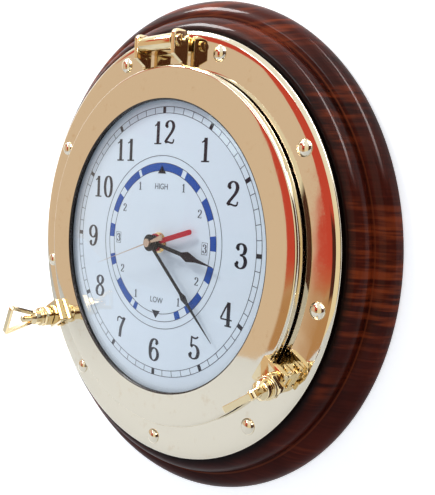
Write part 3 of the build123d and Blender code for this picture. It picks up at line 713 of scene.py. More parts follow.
@dataclass
class Finishes:
    """Every finish, made once."""

    brass: Material = made(PolishedBrass())
    fitting: Material = made(PolishedBrass("fitting_brass", (0.86, 0.70, 0.42), wave=0.2, gloss=0.07))
    # The door's brass carries painted shade on its bore wall and rabbet
    door_brass: Material = made(PolishedBrass("door_brass", throat=0.1052, rabbet=0.0304))
    wood: Material = made(Rosewood())
    glass: Material = made(ClearGlass())
    fibreboard: Material = made(
        Plain("fibreboard", (0.36, 0.24, 0.14), 0.85, grain=700.0, relief=0.3, depth=0.0002)
    )
    rubber: Material = made(Plain("black_rubber", (0.016, 0.015, 0.015), 0.75, relief=0.1))
    paper: Material = made(Plain("dial_paper", (0.85, 0.91, 0.98), 0.45, relief=0.02, uneven=0.012))
    ink: Material = made(Plain("black_ink", (0.014, 0.010, 0.018), 0.5, relief=0.02, shine=0.1))
    grey_ink: Material = made(Plain("grey_ink", (0.055, 0.060, 0.085), 0.5, relief=0.02))
    blue_ink: Material = made(
        Plain("blue_ink", (0.020, 0.095, 0.42), 0.5, relief=0.02, uneven=0.05, shine=0.1)
    )
    plated: Material = made(Plain("plated_steel", (0.70, 0.68, 0.62), 0.25, 1.0))
    gilt: Material = made(Plain("gilt_steel", (0.78, 0.62, 0.36), 0.22, 1.0, relief=0.04))
    black_paint: Material = made(Plain("black_paint", (0.012, 0.011, 0.014), 0.35, relief=0.03, shine=0.15))
    red_paint: Material = made(Plain("red_paint", (0.62, 0.022, 0.040), 0.35, relief=0.03, shine=0.25))
    needle: Material = made(Plain("needle_brass", (0.56, 0.40, 0.30), 0.3, 0.9, relief=0.03))
    black_plastic: Material = made(
        Plain("black_plastic", (0.022, 0.022, 0.025), 0.45, grain=1600.0, relief=0.2)
    )
    white_plastic: Material = made(Plain("white_plastic", (0.74, 0.74, 0.70)))
    green_board: Material = made(Plain("green_board", (0.02, 0.17, 0.07), 0.35, relief=0.1, coat=0.4))
    battery: Material = made(BatteryJacket())


@dataclass
class WoodenBase:
    """Turned base: two beads with a quirk between them, bored behind the dial for the movement."""

    radius: float = 177.8
    edge: float = 3.1
    chamfer: float = 1.0
    lower_in: float = 165.472
    lower_top: float = 12.3
    quirk_in: float = 164.172
    quirk_top: float = 13.6
    upper_in: float = 153.452
    upper_top: float = 23.5
    seat: float = 151.0
    face: float = 25.4
    pocket: float = 95.0
    bulge: float = 0.2
    hanger_height: float = 136.4
    hanger_size: tuple[float, float, float] = (62.0, 26.0, 1.6)
    hanger_round: float = 3.0
    key_room: tuple[float, float, float] = (6.8, 22.6, 7.0)
    key_rise: float = 4.5
    key_round: float = 0.5
    sharp: float = 40.0

    def outline(self) -> np.ndarray:
        """Radius and depth of the turned section, each bead a circle arc."""
        lower = self._bead((self.radius, self.edge), (self.lower_in, self.lower_top))
        upper = self._bead((self.quirk_in, self.quirk_top), (self.upper_in, self.upper_top))
        return np.vstack([
            [(self.pocket, 0.0), (self.radius - self.chamfer, 0.0), (self.radius, self.chamfer)],
            lower,
            [(self.quirk_in, self.lower_top)],
            upper,
            [(self.seat, self.upper_top), (self.seat, self.face), (self.pocket, self.face)],
        ])

    def _bead(self, start: Spot, end: Spot) -> np.ndarray:
        """Arc of a bead, bulged to the right of the way from start to end."""
        run = (end[0] - start[0], end[1] - start[1])
        across = (start[0] + end[0]) / 2 + run[1] * self.bulge
        deep = (start[1] + end[1]) / 2 - run[0] * self.bulge
        return arc_through(start, (across, deep), end, 18)

    def build(self, finishes: Finishes) -> None:
        """Turn the base, sink the hanger's recess and dress it."""
        piece = add_piece("wooden_base_turned", *turn_about_axis(self.outline(), ROUND), self.sharp)
        self._sink(piece, self.hanger_size, self.hanger_height, self.hanger_round)
        half, high, deep = self.key_room
        self._sink(piece, (2 * half, high, deep), self.hanger_height + self.key_rise, self.key_round)
        settle(piece.data, self.sharp, LOOSE)
        dress(piece, Body.BASE, ["wooden_base"], finishes.wood)

    def _sink(self, piece: Object, size: Colour, height: float, turn: float) -> None:
        """Cut a rounded recess of a width, height and depth into the back."""
        wide, high, deep = size
        edge = rounded(oblong(wide, high), [turn] * 4, 6)
        count = len(edge)
        floor, top = (
            np.column_stack([edge[:, 0], np.full(count, y), edge[:, 1] + height]) * MM for y in (-deep, 1.0)
        )
        sides = grid_faces(2, count, False, True).tolist()
        mesh = new_mesh("recess", np.vstack([floor, top]), [*sides, range(count), range(count, 2 * count)])
        settle(mesh, self.sharp)
        cutter = put("recess", mesh)
        cut = piece.modifiers.new("recess", "BOOLEAN")
        cut.operation = "DIFFERENCE"
        cut.solver = "EXACT"
        cut.object = cutter
        done = evaluated(piece)
        piece.modifiers.remove(cut)
        piece.data = done
        bpy.data.objects.remove(cutter)


@dataclass
class Flange:
    """Flat brass ring with a rounded rim, held to the wood by domed pins."""

    bore: float = 106.5
    radius: float = 152.5
    back: float = 25.4
    face: float = 28.4
    rim: tuple[Spot, ...] = ((37.0, 8.5), (1.0, 12.0), (9.0, 28.0), (0.9, 88.0))
    pin_place: float = 141.5
    pin_radius: float = 5.45
    pin_rise: float = 3.0
    pin_shank: float = 2.0
    pin_length: float = 20.0
    pin_count: int = 9
    pin_start: float = 20.0

    def build(self, finishes: Finishes) -> None:
        """Turn the ring, set the pins and dress both."""
        rim = roll_off((self.radius, self.face), self.rim)
        outline = np.vstack([
            [(self.bore, self.back), (self.radius, self.back)], rim[::-1],
            [(rim[0, 0] - 1.0, self.face), (self.bore + 0.3, self.face), (self.bore, self.face - 0.3)],
        ])
        ring = add_piece("porthole_flange_turned", *turn_about_axis(outline, ROUND))
        dress(ring, Body.BASE, ["porthole_flange"], finishes.brass)
        pins = add_piece("flange_pins_domed", *self.pins())
        dress(pins, Body.BASE, ["flange_pins"], finishes.brass)

    def pins(self) -> Surface:
        """Domed pins: a flattened half round whose depth falls as the root of 1 - r squared."""
        reach = np.linspace(0, 1, 14) * np.pi / 2
        out = self.pin_radius * np.sin(reach)
        dome = np.column_stack([out, self.face + self.pin_rise * np.cos(reach)])
        under = np.array([
            (self.pin_radius, self.face - 0.5),
            (self.pin_shank, self.face - 0.5),
            (self.pin_shank, self.face - self.pin_length),
            (0.0, self.face - self.pin_length),
        ])
        points, faces = turn_about_axis(np.vstack([dome, under]), 36)
        points = points + np.array([0, 0, self.pin_place * MM])
        turns = self.pin_start + np.arange(self.pin_count) * 360 / self.pin_count
        return joined((around_axis(points, turn), faces) for turn in turns)


@dataclass
class Door:
    """Hinged ring that holds the domed glass, with its hinge ears and the forks for the dogs."""

    radius: float = 128.4
    opening: float = 104.2
    back: float = 28.7
    front: float = 36.9
    rim: tuple[Spot, ...] = ((100.0, 4.5), (2.0, 88.0))
    step: float = 122.0
    step_depth: float = 30.4
    lip: float = 1.0
    seat: float = 34.748
    rabbet: float = 110.1
    recess: float = 118.1
    recess_depth: float = 30.136
    glass_radius: float = 109.6
    inner_sphere: float = 393.667
    outer_sphere: float = 396.067
    glass_centre: float = -347.867

    def build(self, finishes: Finishes) -> None:
        """Turn the ring and the glass, ease the fittings and dress them all."""
        rim = roll_off((self.radius, self.front), self.rim)
        corners = [
            (rim[0, 0] - 1.0, self.front), (self.opening, self.front), (self.opening, self.seat),
            (self.rabbet, self.seat), (self.rabbet, self.recess_depth), (self.recess, self.recess_depth),
            (self.recess, self.back), (self.step, self.back), (self.step, self.step_depth),
            (self.radius, self.step_depth),
        ]
        outline = np.vstack([rounded(corners, [0, self.lip, 0.2, 0, 0, 0, 0, 0, 0, 0.2], 12), rim[::-1]])
        ring = add_piece("door_ring_turned", *turn_about_axis(outline, ROUND))
        dress(ring, Body.DOOR, ["door_ring"], finishes.door_brass)
        glass = add_piece("door_glass_domed", *turn_about_axis(self.glass_outline(), 192))
        dress(glass, Body.DOOR, ["door_glass"], finishes.glass)
        for node, name, ease in (
            ("hinge_ears", "hinge_ears_eased", 0.6), ("hinge_pin", "hinge_pin_eased", 0.3),
            ("left_door_fork", "left_fork_eased", 0.5), ("right_door_fork", "right_fork_eased", 0.5),
        ):
            dress(eased_copy(node, name, ease), Body.DOOR, [node], finishes.fitting)

    def glass_outline(self) -> np.ndarray:
        """Cap between two spheres of one centre: depth = centre + root of (sphere squared - r squared)."""
        out = np.sin(np.linspace(0, np.pi / 2, 60)) * self.glass_radius
        inner, outer = (
            np.column_stack([out, self.glass_centre + np.sqrt(sphere**2 - out**2)])
            for sphere in (self.inner_sphere, self.outer_sphere)
        )
        return np.vstack([inner, outer[::-1]])


@dataclass
class Dog:
    """Swing bolt, its clevis and the nut with a loop of flat strip for the fingers."""

    side: Side
    angle: float
    loop_turn: float
    lean: float = 0.0
    place: float = 139.0
    pivot: float = 34.0
    eye_radius: float = 3.6
    eye_half: float = 3.4
    eye_bore: float = 1.85
    bolt_radius: float = 3.0
    bolt_tip: float = 69.0
    thread_start: float = 42.0
    thread_pitch: float = 1.0
    thread_depth: float = 0.55
    thread_end: float = 68.1
    tip: float = 0.8
    base_half: float = 6.7
    base_corner: float = 8.0
    base_back: float = 43.3
    collar_radius: float = 7.5
    collar_back: float = 50.9
    collar_front: float = 53.3
    nut_radius: float = 6.0
    nut_front: float = 61.3
    nut_dome: float = 2.6
    bore: float = 3.05
    loop_back: float = 58.3
    loop_front: float = 82.3
    loop_near: float = 5.0
    loop_far: float = 13.5
    strip: Spot = (2.4, 4.0)

    def build(self, finishes: Finishes) -> None:
        """Make the bolt and the nut, ease the clevis and its screw, and dress them."""
        side = self.side.value
        bolt_body = Body(f"{side}_dog")
        nut_body = Body(f"{side}_nut")
        bolt = add_piece(f"{side}_bolt_threaded", *self.bolt())
        dress(bolt, bolt_body, [f"{side}_swing_bolt"], finishes.fitting)
        nut = add_piece(f"{side}_nut_looped", *self.nut())
        dress(nut, nut_body, [f"{side}_loop_nut"], finishes.fitting)
        for node, ease in ((f"{side}_dog_clevis", 0.5), (f"{side}_pivot_screw", 0.3)):
            eased = eased_copy(node, f"{node}_eased", ease)
            dress(eased, Body.BASE, [node], finishes.fitting)

    def _on_bolt(self, points: np.ndarray) -> np.ndarray:
        """Lean millimetre points out about the pivot and move them to the bolt's place on the flange."""
        c, s = cos_sin(self.lean)
        middle = np.array([0.0, -self.pivot, 0.0])
        leaned = (points - middle) @ np.array([[1, 0, 0], [0, c, s], [0, -s, c]]).T + middle
        return around_axis((leaned + np.array([0, 0, self.place])) * MM, self.angle)

    def bolt(self) -> Surface:
        """Eye and shank; the thread's radius falls with a triangle wave of depth and turn."""
        turns = circle(28)
        thread = np.arange(self.thread_start, self.bolt_tip - self.tip, self.thread_pitch / 8)
        depth = np.concatenate([[self.pivot], thread, [self.bolt_tip]])
        d, a = np.meshgrid(depth, turns, indexing="ij")
        wave = np.abs(((d / self.thread_pitch + a / (2 * np.pi)) % 1.0) * 2 - 1)
        threaded = (d > self.thread_start) & (d < self.thread_end)
        cut = np.where(threaded, wave * self.thread_depth, 0.0)
        radius = self.bolt_radius - cut - np.where(d >= self.bolt_tip, self.tip, 0.0)
        shank = np.stack([radius * np.cos(a), -d, radius * np.sin(a)], axis=-1).reshape(-1, 3)
        foot, tip = (np.tile([0.0, -end, 0.0], (len(turns), 1)) for end in (self.pivot, self.bolt_tip))
        shank = np.vstack([foot, shank, tip])
        shank_faces = grid_faces(len(depth) + 2, len(turns), False, True)
        half, bore, rim = self.eye_half, self.eye_bore, self.eye_radius
        eye = rounded([(-half, bore), (half, bore), (half, rim), (-half, rim)], [0.2, 0.2, 0.5, 0.5], 4)
        spin = circle(40)[:, None]
        ring = np.stack([
            eye[:, 0] + 0 * spin, -self.pivot + eye[:, 1] * np.cos(spin), eye[:, 1] * np.sin(spin)
        ], axis=-1).reshape(-1, 3)
        ring_faces = grid_faces(len(spin), len(eye), True, True)
        points, faces = joined([(shank, shank_faces), (ring, ring_faces)])
        return self._on_bolt(points), faces

    def nut(self) -> Surface:
        """Collared, domed nut turned on its bore, and a trapezoid of flat strip carried round its path."""
        dome = self.nut_front - self.nut_dome
        corners = [
            (self.bore, self.collar_back), (self.collar_radius, self.collar_back),
            (self.collar_radius, self.collar_front), (self.nut_radius, self.collar_front),
            (self.nut_radius, dome), (self.nut_radius - self.nut_dome, self.nut_front),
            (self.bore, self.nut_front),
        ]
        outline = rounded(corners, [0.2, 0.5, 0.5, 0.3, 1.0, 0.6, 0.15], 5)
        body, body_faces = turn_about_axis(outline, 48)
        thick, wide = self.strip
        lean = (self.loop_far - self.loop_near) / (self.loop_front - self.loop_back)
        in_near, in_far = self.loop_near - thick / 2, self.loop_far - thick / 2 - lean * thick / 2
        path = rounded(
            [(in_near, -self.loop_back), (in_far, -self.loop_front + thick / 2),
             (-in_far, -self.loop_front + thick / 2), (-in_near, -self.loop_back)],
            [0, 1.3, 1.3, 0], 6,
        )
        path3 = np.column_stack([path, np.zeros(len(path))])
        section = rounded(oblong(thick, wide), [0.35] * 4, 4)
        strip, strip_faces = carry(section, path3, np.array([0.0, 0.0, 1.0]))
        open_faces = strip_faces[: -len(section)]
        points, faces = joined([(body / MM, body_faces), self.base(), (strip, open_faces)])
        return self._on_bolt(around_axis(points, self.loop_turn - self.angle)), faces

    def base(self) -> Surface:
        """Square base of the nut: the smaller of a square's and a circle's reach, with eased rims."""
        turn = circle(120)
        reach = self.base_half / np.maximum(np.abs(np.cos(turn)), np.abs(np.sin(turn)))
        reach = np.minimum(reach, self.base_corner)
        depth = np.array([0.0, 0.0, 0.15, 0.45, 0.45, 0.15, 0.0, 0.0])
        low, high = self.base_back, self.collar_back
        inset = np.array([0.0, 0.45, 0.15, 0.0, 0.0, 0.15, 0.45, 0.0])
        d = np.where(np.arange(8) < 4, low + depth, high - depth)
        r = np.where(np.isin(np.arange(8), (0, 7))[:, None], self.bore, reach - inset[:, None])
        points = np.stack([r * np.cos(turn), -d[:, None] + 0 * turn, r * np.sin(turn)], axis=-1)
        return points.reshape(-1, 3), grid_faces(8, len(turn), True, True)


class Marks(Enum):
    """Layers of the dial's print."""

    BLACK = "black"
    GREY = "grey"
    BLUE = "blue"


@dataclass
class DialPrint:
    """Print on the dial: minute track, numerals, tide ring and its small figures."""

    unit: float = 94.4
    rise: float = 3.0
    face: float = 30.8
    lift: float = 0.10
    film: float = 0.08
    hours: tuple[Spot, ...] = (
        (0.452, 0.704), (0.735, 0.403), (0.840, -0.015), (0.735, -0.432),
        (0.435, -0.728), (0.0, -0.832), (-0.415, -0.725), (-0.710, -0.425),
        (-0.830, -0.015), (-0.715, 0.402), (-0.440, 0.704), (0.002, 0.833),
    )
    numeral: float = 0.173
    figure: float = 0.062
    figure_ring: float = 0.49
    box: Spot = (0.058, 0.088)
    track: Spot = (0.977, 1.024)
    half_line: float = 0.0024
    minute_line: float = 0.0050
    hour_block: float = 0.031
    tide_circles: tuple[float, ...] = (0.660, 0.605, 0.546)
    tide_band: Spot = (0.547, 0.604)
    layers: dict[Marks, list[Surface]] = field(default_factory=lambda: {mark: [] for mark in Marks})

    def ring(
        self, layer: Marks, inner: float, outer: float, start: float = 0.0, end: float = 360.0
    ) -> None:
        """Add a flat ring or a piece of one.

        Args:
            layer: The ink.
            inner: Inner radius, in dial units.
            outer: Outer radius, in dial units.
            start: First clockwise angle, in degrees.
            end: Last clockwise angle, in degrees.
        """
        steps = max(3, int((end - start) / 1.5) + 1)
        a = np.radians(np.linspace(start, end, steps))[:, None]
        r = np.array([inner, outer])
        flat = np.stack([r * np.sin(a), r * np.cos(a)], axis=-1).reshape(-1, 2)
        self.patch(layer, flat, grid_faces(steps, 2, False, False))

    def patch(self, layer: Marks, flat: np.ndarray, faces: Faces) -> None:
        """Add any flat patch, in dial units."""
        self.layers[layer].append((flat, faces))

    def bar(self, layer: Marks, angle: float, inner: float, outer: float, width: float) -> None:
        """Add a short bar along a spoke."""
        half = width / 2
        flat = np.array([(-half, inner), (half, inner), (half, outer), (-half, outer)])
        self.patch(layer, self.turned(flat, angle), QUAD)

    @staticmethod
    def turned(flat: np.ndarray, angle: float) -> np.ndarray:
        """Turn flat points clockwise about the dial's middle."""
        c, s = cos_sin(angle)
        return flat @ np.array([[c, -s], [s, c]])

    def build(self, finishes: Finishes) -> None:
        """Lay out every mark and dress the three layers."""
        self.minute_track()
        self.tide_ring()
        numerals = Numerals()
        for hour in range(1, 13):
            numerals.write(self, Marks.BLACK, str(hour), np.array(self.hours[hour - 1]), self.numeral)
        for step, digit in ((30, "1"), (60, "2"), (90, "3"), (120, "2"), (150, "1")):
            for angle in (step, 360 - step):
                spot = self.turned(np.array([[0.0, self.figure_ring]]), angle)[0]
                numerals.write(self, Marks.GREY, digit, spot, self.figure)
                if digit == "3":
                    self.frame_box(spot)
        for layer, ink in zip(Marks, (finishes.ink, finishes.grey_ink, finishes.blue_ink)):
            self._lay(layer, ink)
        for word, height in (("HIGH", 0.425), ("LOW", -0.445)):
            self._word(word, height, finishes.grey_ink)

    def minute_track(self) -> None:
        """Two thin circles, a line at each minute and a block at each hour."""
        self.thin_circles(self.track)
        for minute in range(60):
            layer, width = (Marks.GREY, self.minute_line) if minute % 5 else (Marks.BLACK, self.hour_block)
            self.bar(layer, minute * 6.0, *self.track, width)

    def thin_circles(self, radii: Sequence[float]) -> None:
        """Add thin grey circles."""
        for radius in radii:
            self.ring(Marks.GREY, radius - self.half_line, radius + self.half_line)

    def tide_ring(self) -> None:
        """Thin circles, blue lengths that shorten towards half tide, and pointers at high and low water."""
        self.thin_circles(self.tide_circles)
        spans = (
            (-24.0, 22.5), (27.0, 44.0), (53.0, 69.0), (80.5, 91.0), (102.5, 114.5), (126.0, 145.5),
            (153.0, 158.7), (203.0, 207.0), (211.0, 234.0), (247.0, 256.0), (270.0, 280.5), (291.0, 306.0),
            (313.0, 333.0),
        )
        for start, end in spans:
            self.ring(Marks.BLUE, *self.tide_band, start, end)
        for tip, foot in ((0.585, 0.525), (-0.585, -0.525)):
            flat = np.array([(-0.046, foot), (0.046, foot), (0.0, tip), (0.0, tip)])
            self.patch(Marks.BLACK, flat, QUAD)

    def frame_box(self, spot: np.ndarray) -> None:
        """Add a thin box round a small figure."""
        width, height = self.box
        line = 0.006
        for x0, x1, y0, y1 in (
            (-width, width, height, height - line), (-width, width, -height + line, -height),
            (-width, -width + line, height, -height), (width - line, width, height, -height),
        ):
            flat = np.array([(x0, y0), (x1, y0), (x1, y1), (x0, y1)]) / 2 + spot
            self.patch(Marks.GREY, flat, QUAD)

    def _on_dial(self, flat: np.ndarray) -> np.ndarray:
        """Put flat dial points on the plate, a little in front of it."""
        x, z = (flat * self.unit).T
        return np.column_stack([x, np.full(len(x), -(self.face + self.lift)), z + self.rise]) * MM

    def _lay(self, layer: Marks, ink: Material) -> None:
        """Make one layer of print a piece with a little body."""
        flat, faces = joined(self.layers[layer])
        name = f"dial_print_{layer.value}"
        self._ink(name, self._front(name, self._on_dial(flat), faces), ink)

    @staticmethod
    def _front(name: str, points: np.ndarray, faces: Faces) -> Mesh:
        """Make a flat mesh whose front is towards the viewer."""
        mesh = new_mesh(name, points, faces.tolist())
        with edited(mesh) as work:
            bmesh.ops.dissolve_degenerate(work, edges=work.edges[:], dist=CLOSE)
            back = [face for face in work.faces if face.normal.y > 0]
            bmesh.ops.reverse_faces(work, faces=back)
        return mesh

    def _word(self, word: str, height: float, ink: Material) -> None:
        """Set a plain word across the dial's middle."""
        curve = bpy.data.curves.new(f"word_{word.lower()}", "FONT")
        curve.body = word
        curve.align_x = "CENTER"
        curve.align_y = "CENTER"
        curve.size = self.figure * self.unit * MM
        text = put(curve.name, curve)
        mesh = evaluated(text)
        bpy.data.objects.remove(text)
        stand = Matrix.Translation(self._on_dial(np.array([[0.0, height]]))[0])
        mesh.transform(stand @ Matrix.Rotation(math.radians(90), 4, "X"))
        self._ink(f"dial_word_{word.lower()}", mesh, ink)

    def _ink(self, name: str, mesh: Mesh, ink: Material) -> None:
        """Make a flat mesh a film of ink on the dial."""
        piece = put(name, mesh)
        body = piece.modifiers.new("film", "SOLIDIFY")
        body.thickness = self.film * MM
        body.offset = -1.0
        dress(piece, Body.BASE, [], ink)


@dataclass
class Numerals:
    """Upright numerals drawn with a pen whose stroke is broad downwards and fine across."""

    broad: float = 0.072
    fine: float = 0.028
    flag: float = 0.036
    ball: float = 0.062
    width: float = 0.54
    stretch: float = 1.28
    space: float = 0.04

    def strokes(self, digit: str) -> list[tuple[list[Spot], float, float]]:
        """Strokes of a digit in a box one high.

        Args:
            digit: The digit.

        Returns:
            For each stroke its points, and the half widths across and down.
        """
        b, f = self.broad, self.fine
        bowl6 = [
            (0.43, 0.80), (0.38, 0.94), (0.28, 0.985), (0.16, 0.90), (0.085, 0.70), (0.07, 0.42),
            (0.12, 0.12), (0.27, 0.012), (0.42, 0.11), (0.475, 0.30), (0.42, 0.50), (0.28, 0.585),
            (0.15, 0.50), (0.09, 0.36),
        ]
        shapes = {
            "0": [
                ([(0.27, 0.985), (0.13, 0.86), (0.075, 0.5), (0.13, 0.14), (0.27, 0.012), (0.41, 0.14),
                  (0.465, 0.5), (0.41, 0.86), (0.27, 0.985)], f, b),
            ],
            "1": [
                ([(0.27, 0.02), (0.27, 0.5), (0.27, 0.985)], b, b),
                ([(0.09, 0.80), (0.17, 0.84), (0.26, 0.97)], f, 0.03),
                ([(0.09, 0.018), (0.27, 0.018), (0.45, 0.018)], f, f),
            ],
            "2": [
                ([(0.10, 0.74), (0.13, 0.90), (0.26, 0.985), (0.40, 0.92), (0.455, 0.75), (0.40, 0.56),
                  (0.27, 0.37), (0.14, 0.20), (0.075, 0.06)], f, b),
                ([(0.07, 0.055), (0.20, 0.085), (0.34, 0.045), (0.45, 0.06), (0.485, 0.20)], self.flag, f),
            ],
            "3": [
                ([(0.11, 0.76), (0.15, 0.92), (0.27, 0.985), (0.39, 0.92), (0.435, 0.77), (0.38, 0.60),
                  (0.23, 0.535)], f, b),
                ([(0.23, 0.535), (0.40, 0.47), (0.465, 0.28), (0.40, 0.08), (0.25, 0.012), (0.12, 0.08),
                  (0.085, 0.22)], f, b),
            ],
            "4": [
                ([(0.36, 0.02), (0.36, 0.5), (0.36, 0.985)], b, b),
                ([(0.345, 0.985), (0.19, 0.66), (0.035, 0.30)], f, f * 1.2),
                ([(0.035, 0.275), (0.26, 0.275), (0.51, 0.275)], f, f),
                ([(0.22, 0.018), (0.36, 0.018), (0.50, 0.018)], f, f),
            ],
            "5": [
                ([(0.125, 0.55), (0.135, 0.75), (0.145, 0.965)], f, f * 1.3),
                ([(0.14, 0.93), (0.24, 0.90), (0.35, 0.91), (0.44, 0.985)], self.flag, f),
                ([(0.125, 0.50), (0.20, 0.585), (0.31, 0.59), (0.425, 0.49), (0.47, 0.31), (0.41, 0.10),
                  (0.25, 0.012), (0.12, 0.07), (0.085, 0.21)], f, b),
            ],
            "6": [(bowl6, f, b)],
            "7": [
                ([(0.075, 0.73), (0.09, 0.90), (0.20, 0.955), (0.33, 0.90), (0.47, 0.96)], self.flag, f),
                ([(0.47, 0.96), (0.36, 0.70), (0.27, 0.42), (0.235, 0.02)], f, b),
            ],
            "8": [
                ([(0.27, 0.985), (0.14, 0.90), (0.11, 0.77), (0.17, 0.63), (0.27, 0.555), (0.41, 0.43),
                  (0.465, 0.27), (0.40, 0.07), (0.27, 0.012), (0.13, 0.07), (0.075, 0.26), (0.14, 0.44),
                  (0.27, 0.545), (0.37, 0.63), (0.425, 0.77), (0.39, 0.91), (0.27, 0.985)], f, b),
            ],
            "9": [([(self.width - x, 1.0 - y) for x, y in bowl6], f, b)],
        }
        return shapes[digit]

    def balls(self, digit: str) -> list[Spot]:
        """Round ends of a digit's curls."""
        return {
            "2": [(0.135, 0.745)], "3": [(0.145, 0.765), (0.125, 0.225)], "5": [(0.125, 0.215)],
            "6": [(0.395, 0.80)], "9": [(0.145, 0.20)],
        }.get(digit, [])

    @staticmethod
    def smooth(points: Sequence[Spot], steps: int = 9) -> np.ndarray:
        """Curve through points, each stretch a cubic with slopes from its neighbours."""
        p = np.asarray(points, float)
        shut = len(p) > 3 and np.allclose(p[0], p[-1])
        before = p[-2] if shut else 2 * p[0] - p[1]
        after = p[1] if shut else 2 * p[-1] - p[-2]
        q = np.vstack([before, p, after])
        t = np.linspace(0, 1, steps, endpoint=False)[None, :, None]
        a, b, c, d = (q[k: len(q) - 3 + k, None] for k in range(4))
        square, cube = 2 * a - 5 * b + 4 * c - d, 3 * b - a - 3 * c + d
        curve = 0.5 * (2 * b + (c - a) * t + square * t**2 + cube * t**3)
        return np.vstack([curve.reshape(-1, 2), p[-1:]])

    def ribbon(self, points: Sequence[Spot], across: float, down: float) -> Surface:
        """Ribbon along a curve; its half width goes from across to down as the stroke turns upright."""
        line = self.smooth(points)
        way = np.gradient(line, axis=0)
        way /= np.linalg.norm(way, axis=1, keepdims=True) + 1e-12
        half = across + (down - across) * np.abs(way[:, 1]) ** 1.8
        side = np.column_stack([-way[:, 1], way[:, 0]]) * half[:, None]
        flat = np.stack([line + side, line - side], axis=1).reshape(-1, 2)
        return flat, grid_faces(len(line), 2, False, False)

    def write(self, sheet: DialPrint, layer: Marks, word: str, spot: np.ndarray, height: float) -> None:
        """Write a number centred on a spot of the dial.

        Args:
            sheet: The dial's print.
            layer: The ink.
            word: The number.
            spot: Its middle, in dial units.
            height: Its height, in dial units.
        """
        pitch = self.width + self.space
        size = np.array([self.stretch, 1.0]) * height
        left = -(len(word) * pitch - self.space) / 2
        turn = np.linspace(0, 2 * np.pi, 17)[:, None]
        reach = np.array([0, self.ball])
        ball = np.stack([reach * np.sin(turn), reach * np.cos(turn)], axis=-1).reshape(-1, 2)
        ball_faces = grid_faces(len(turn), 2, False, False)
        for place, digit in enumerate(word):
            shift = np.array([left + place * pitch, -0.5])
            for points, across, down in self.strokes(digit):
                flat, faces = self.ribbon(points, across, down)
                sheet.patch(layer, (flat + shift) * size + spot, faces)
            for middle in self.balls(digit):
                sheet.patch(layer, (ball + np.array(middle) + shift) * size + spot, ball_faces)


@dataclass
class Inside:
    """Nodes whose own solids are shown: dial plate, hands, hanger and the movement."""

    def build(self, finishes: Finishes) -> None:
        """Give each kept node its finish."""
        wheels = [f"{name}_wheel" for name in ("tide", "hour", "minute", "second", "third", "motion")]
        looks = (
            (finishes.paper, ["dial_plate"]),
            (finishes.fibreboard, ["dial_board"]),
            (finishes.plated, ["dial_board_screws", "hanger_plate", "hanger_screws"]),
            (finishes.plated, ["positive_contact", "negative_contact"]),
            (finishes.rubber, ["movement_washer", "glass_gasket"]),
            (finishes.gilt, ["dial_washer", "dial_nut"]),
            (finishes.black_plastic, ["movement_case", "movement_cover", "stepper_motor"]),
            (finishes.green_board, ["circuit_board"]),
            (finishes.battery, ["battery"]),
            (finishes.white_plastic, ["time_set_knob", "tide_set_knob", "tide_idler", *wheels]),
            (finishes.red_paint, ["tide_hand"]),
            (finishes.black_paint, ["hour_hand", "minute_hand", "glass_retainer"]),
            (finishes.needle, ["second_hand"]),
            (finishes.brass, ["retainer_screws"]),
        )
        for finish, node in ((finish, node) for finish, nodes in looks for node in nodes):
            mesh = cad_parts[node].data
            mesh.materials.clear()
            mesh.materials.append(finish)
            log.info("%s keeps its solid", node)


@dataclass
class Hinge:
    """Block on the flange that the hinge pin turns in."""

    def build(self, finishes: Finishes) -> None:
        """Ease the knuckle and dress it."""
        piece = eased_copy("hinge_knuckle", "hinge_knuckle_eased", 0.6)
        dress(piece, Body.BASE, ["hinge_knuckle"], finishes.fitting)


# Stage

def standing(right: np.ndarray, up: np.ndarray, place: Colour) -> Matrix:
    """Matrix of something that stands at a place, its back square to its right and up."""
    rows = np.column_stack([right, up, np.cross(right, up), place])
    return Matrix([*rows.tolist(), [0, 0, 0, 1]])


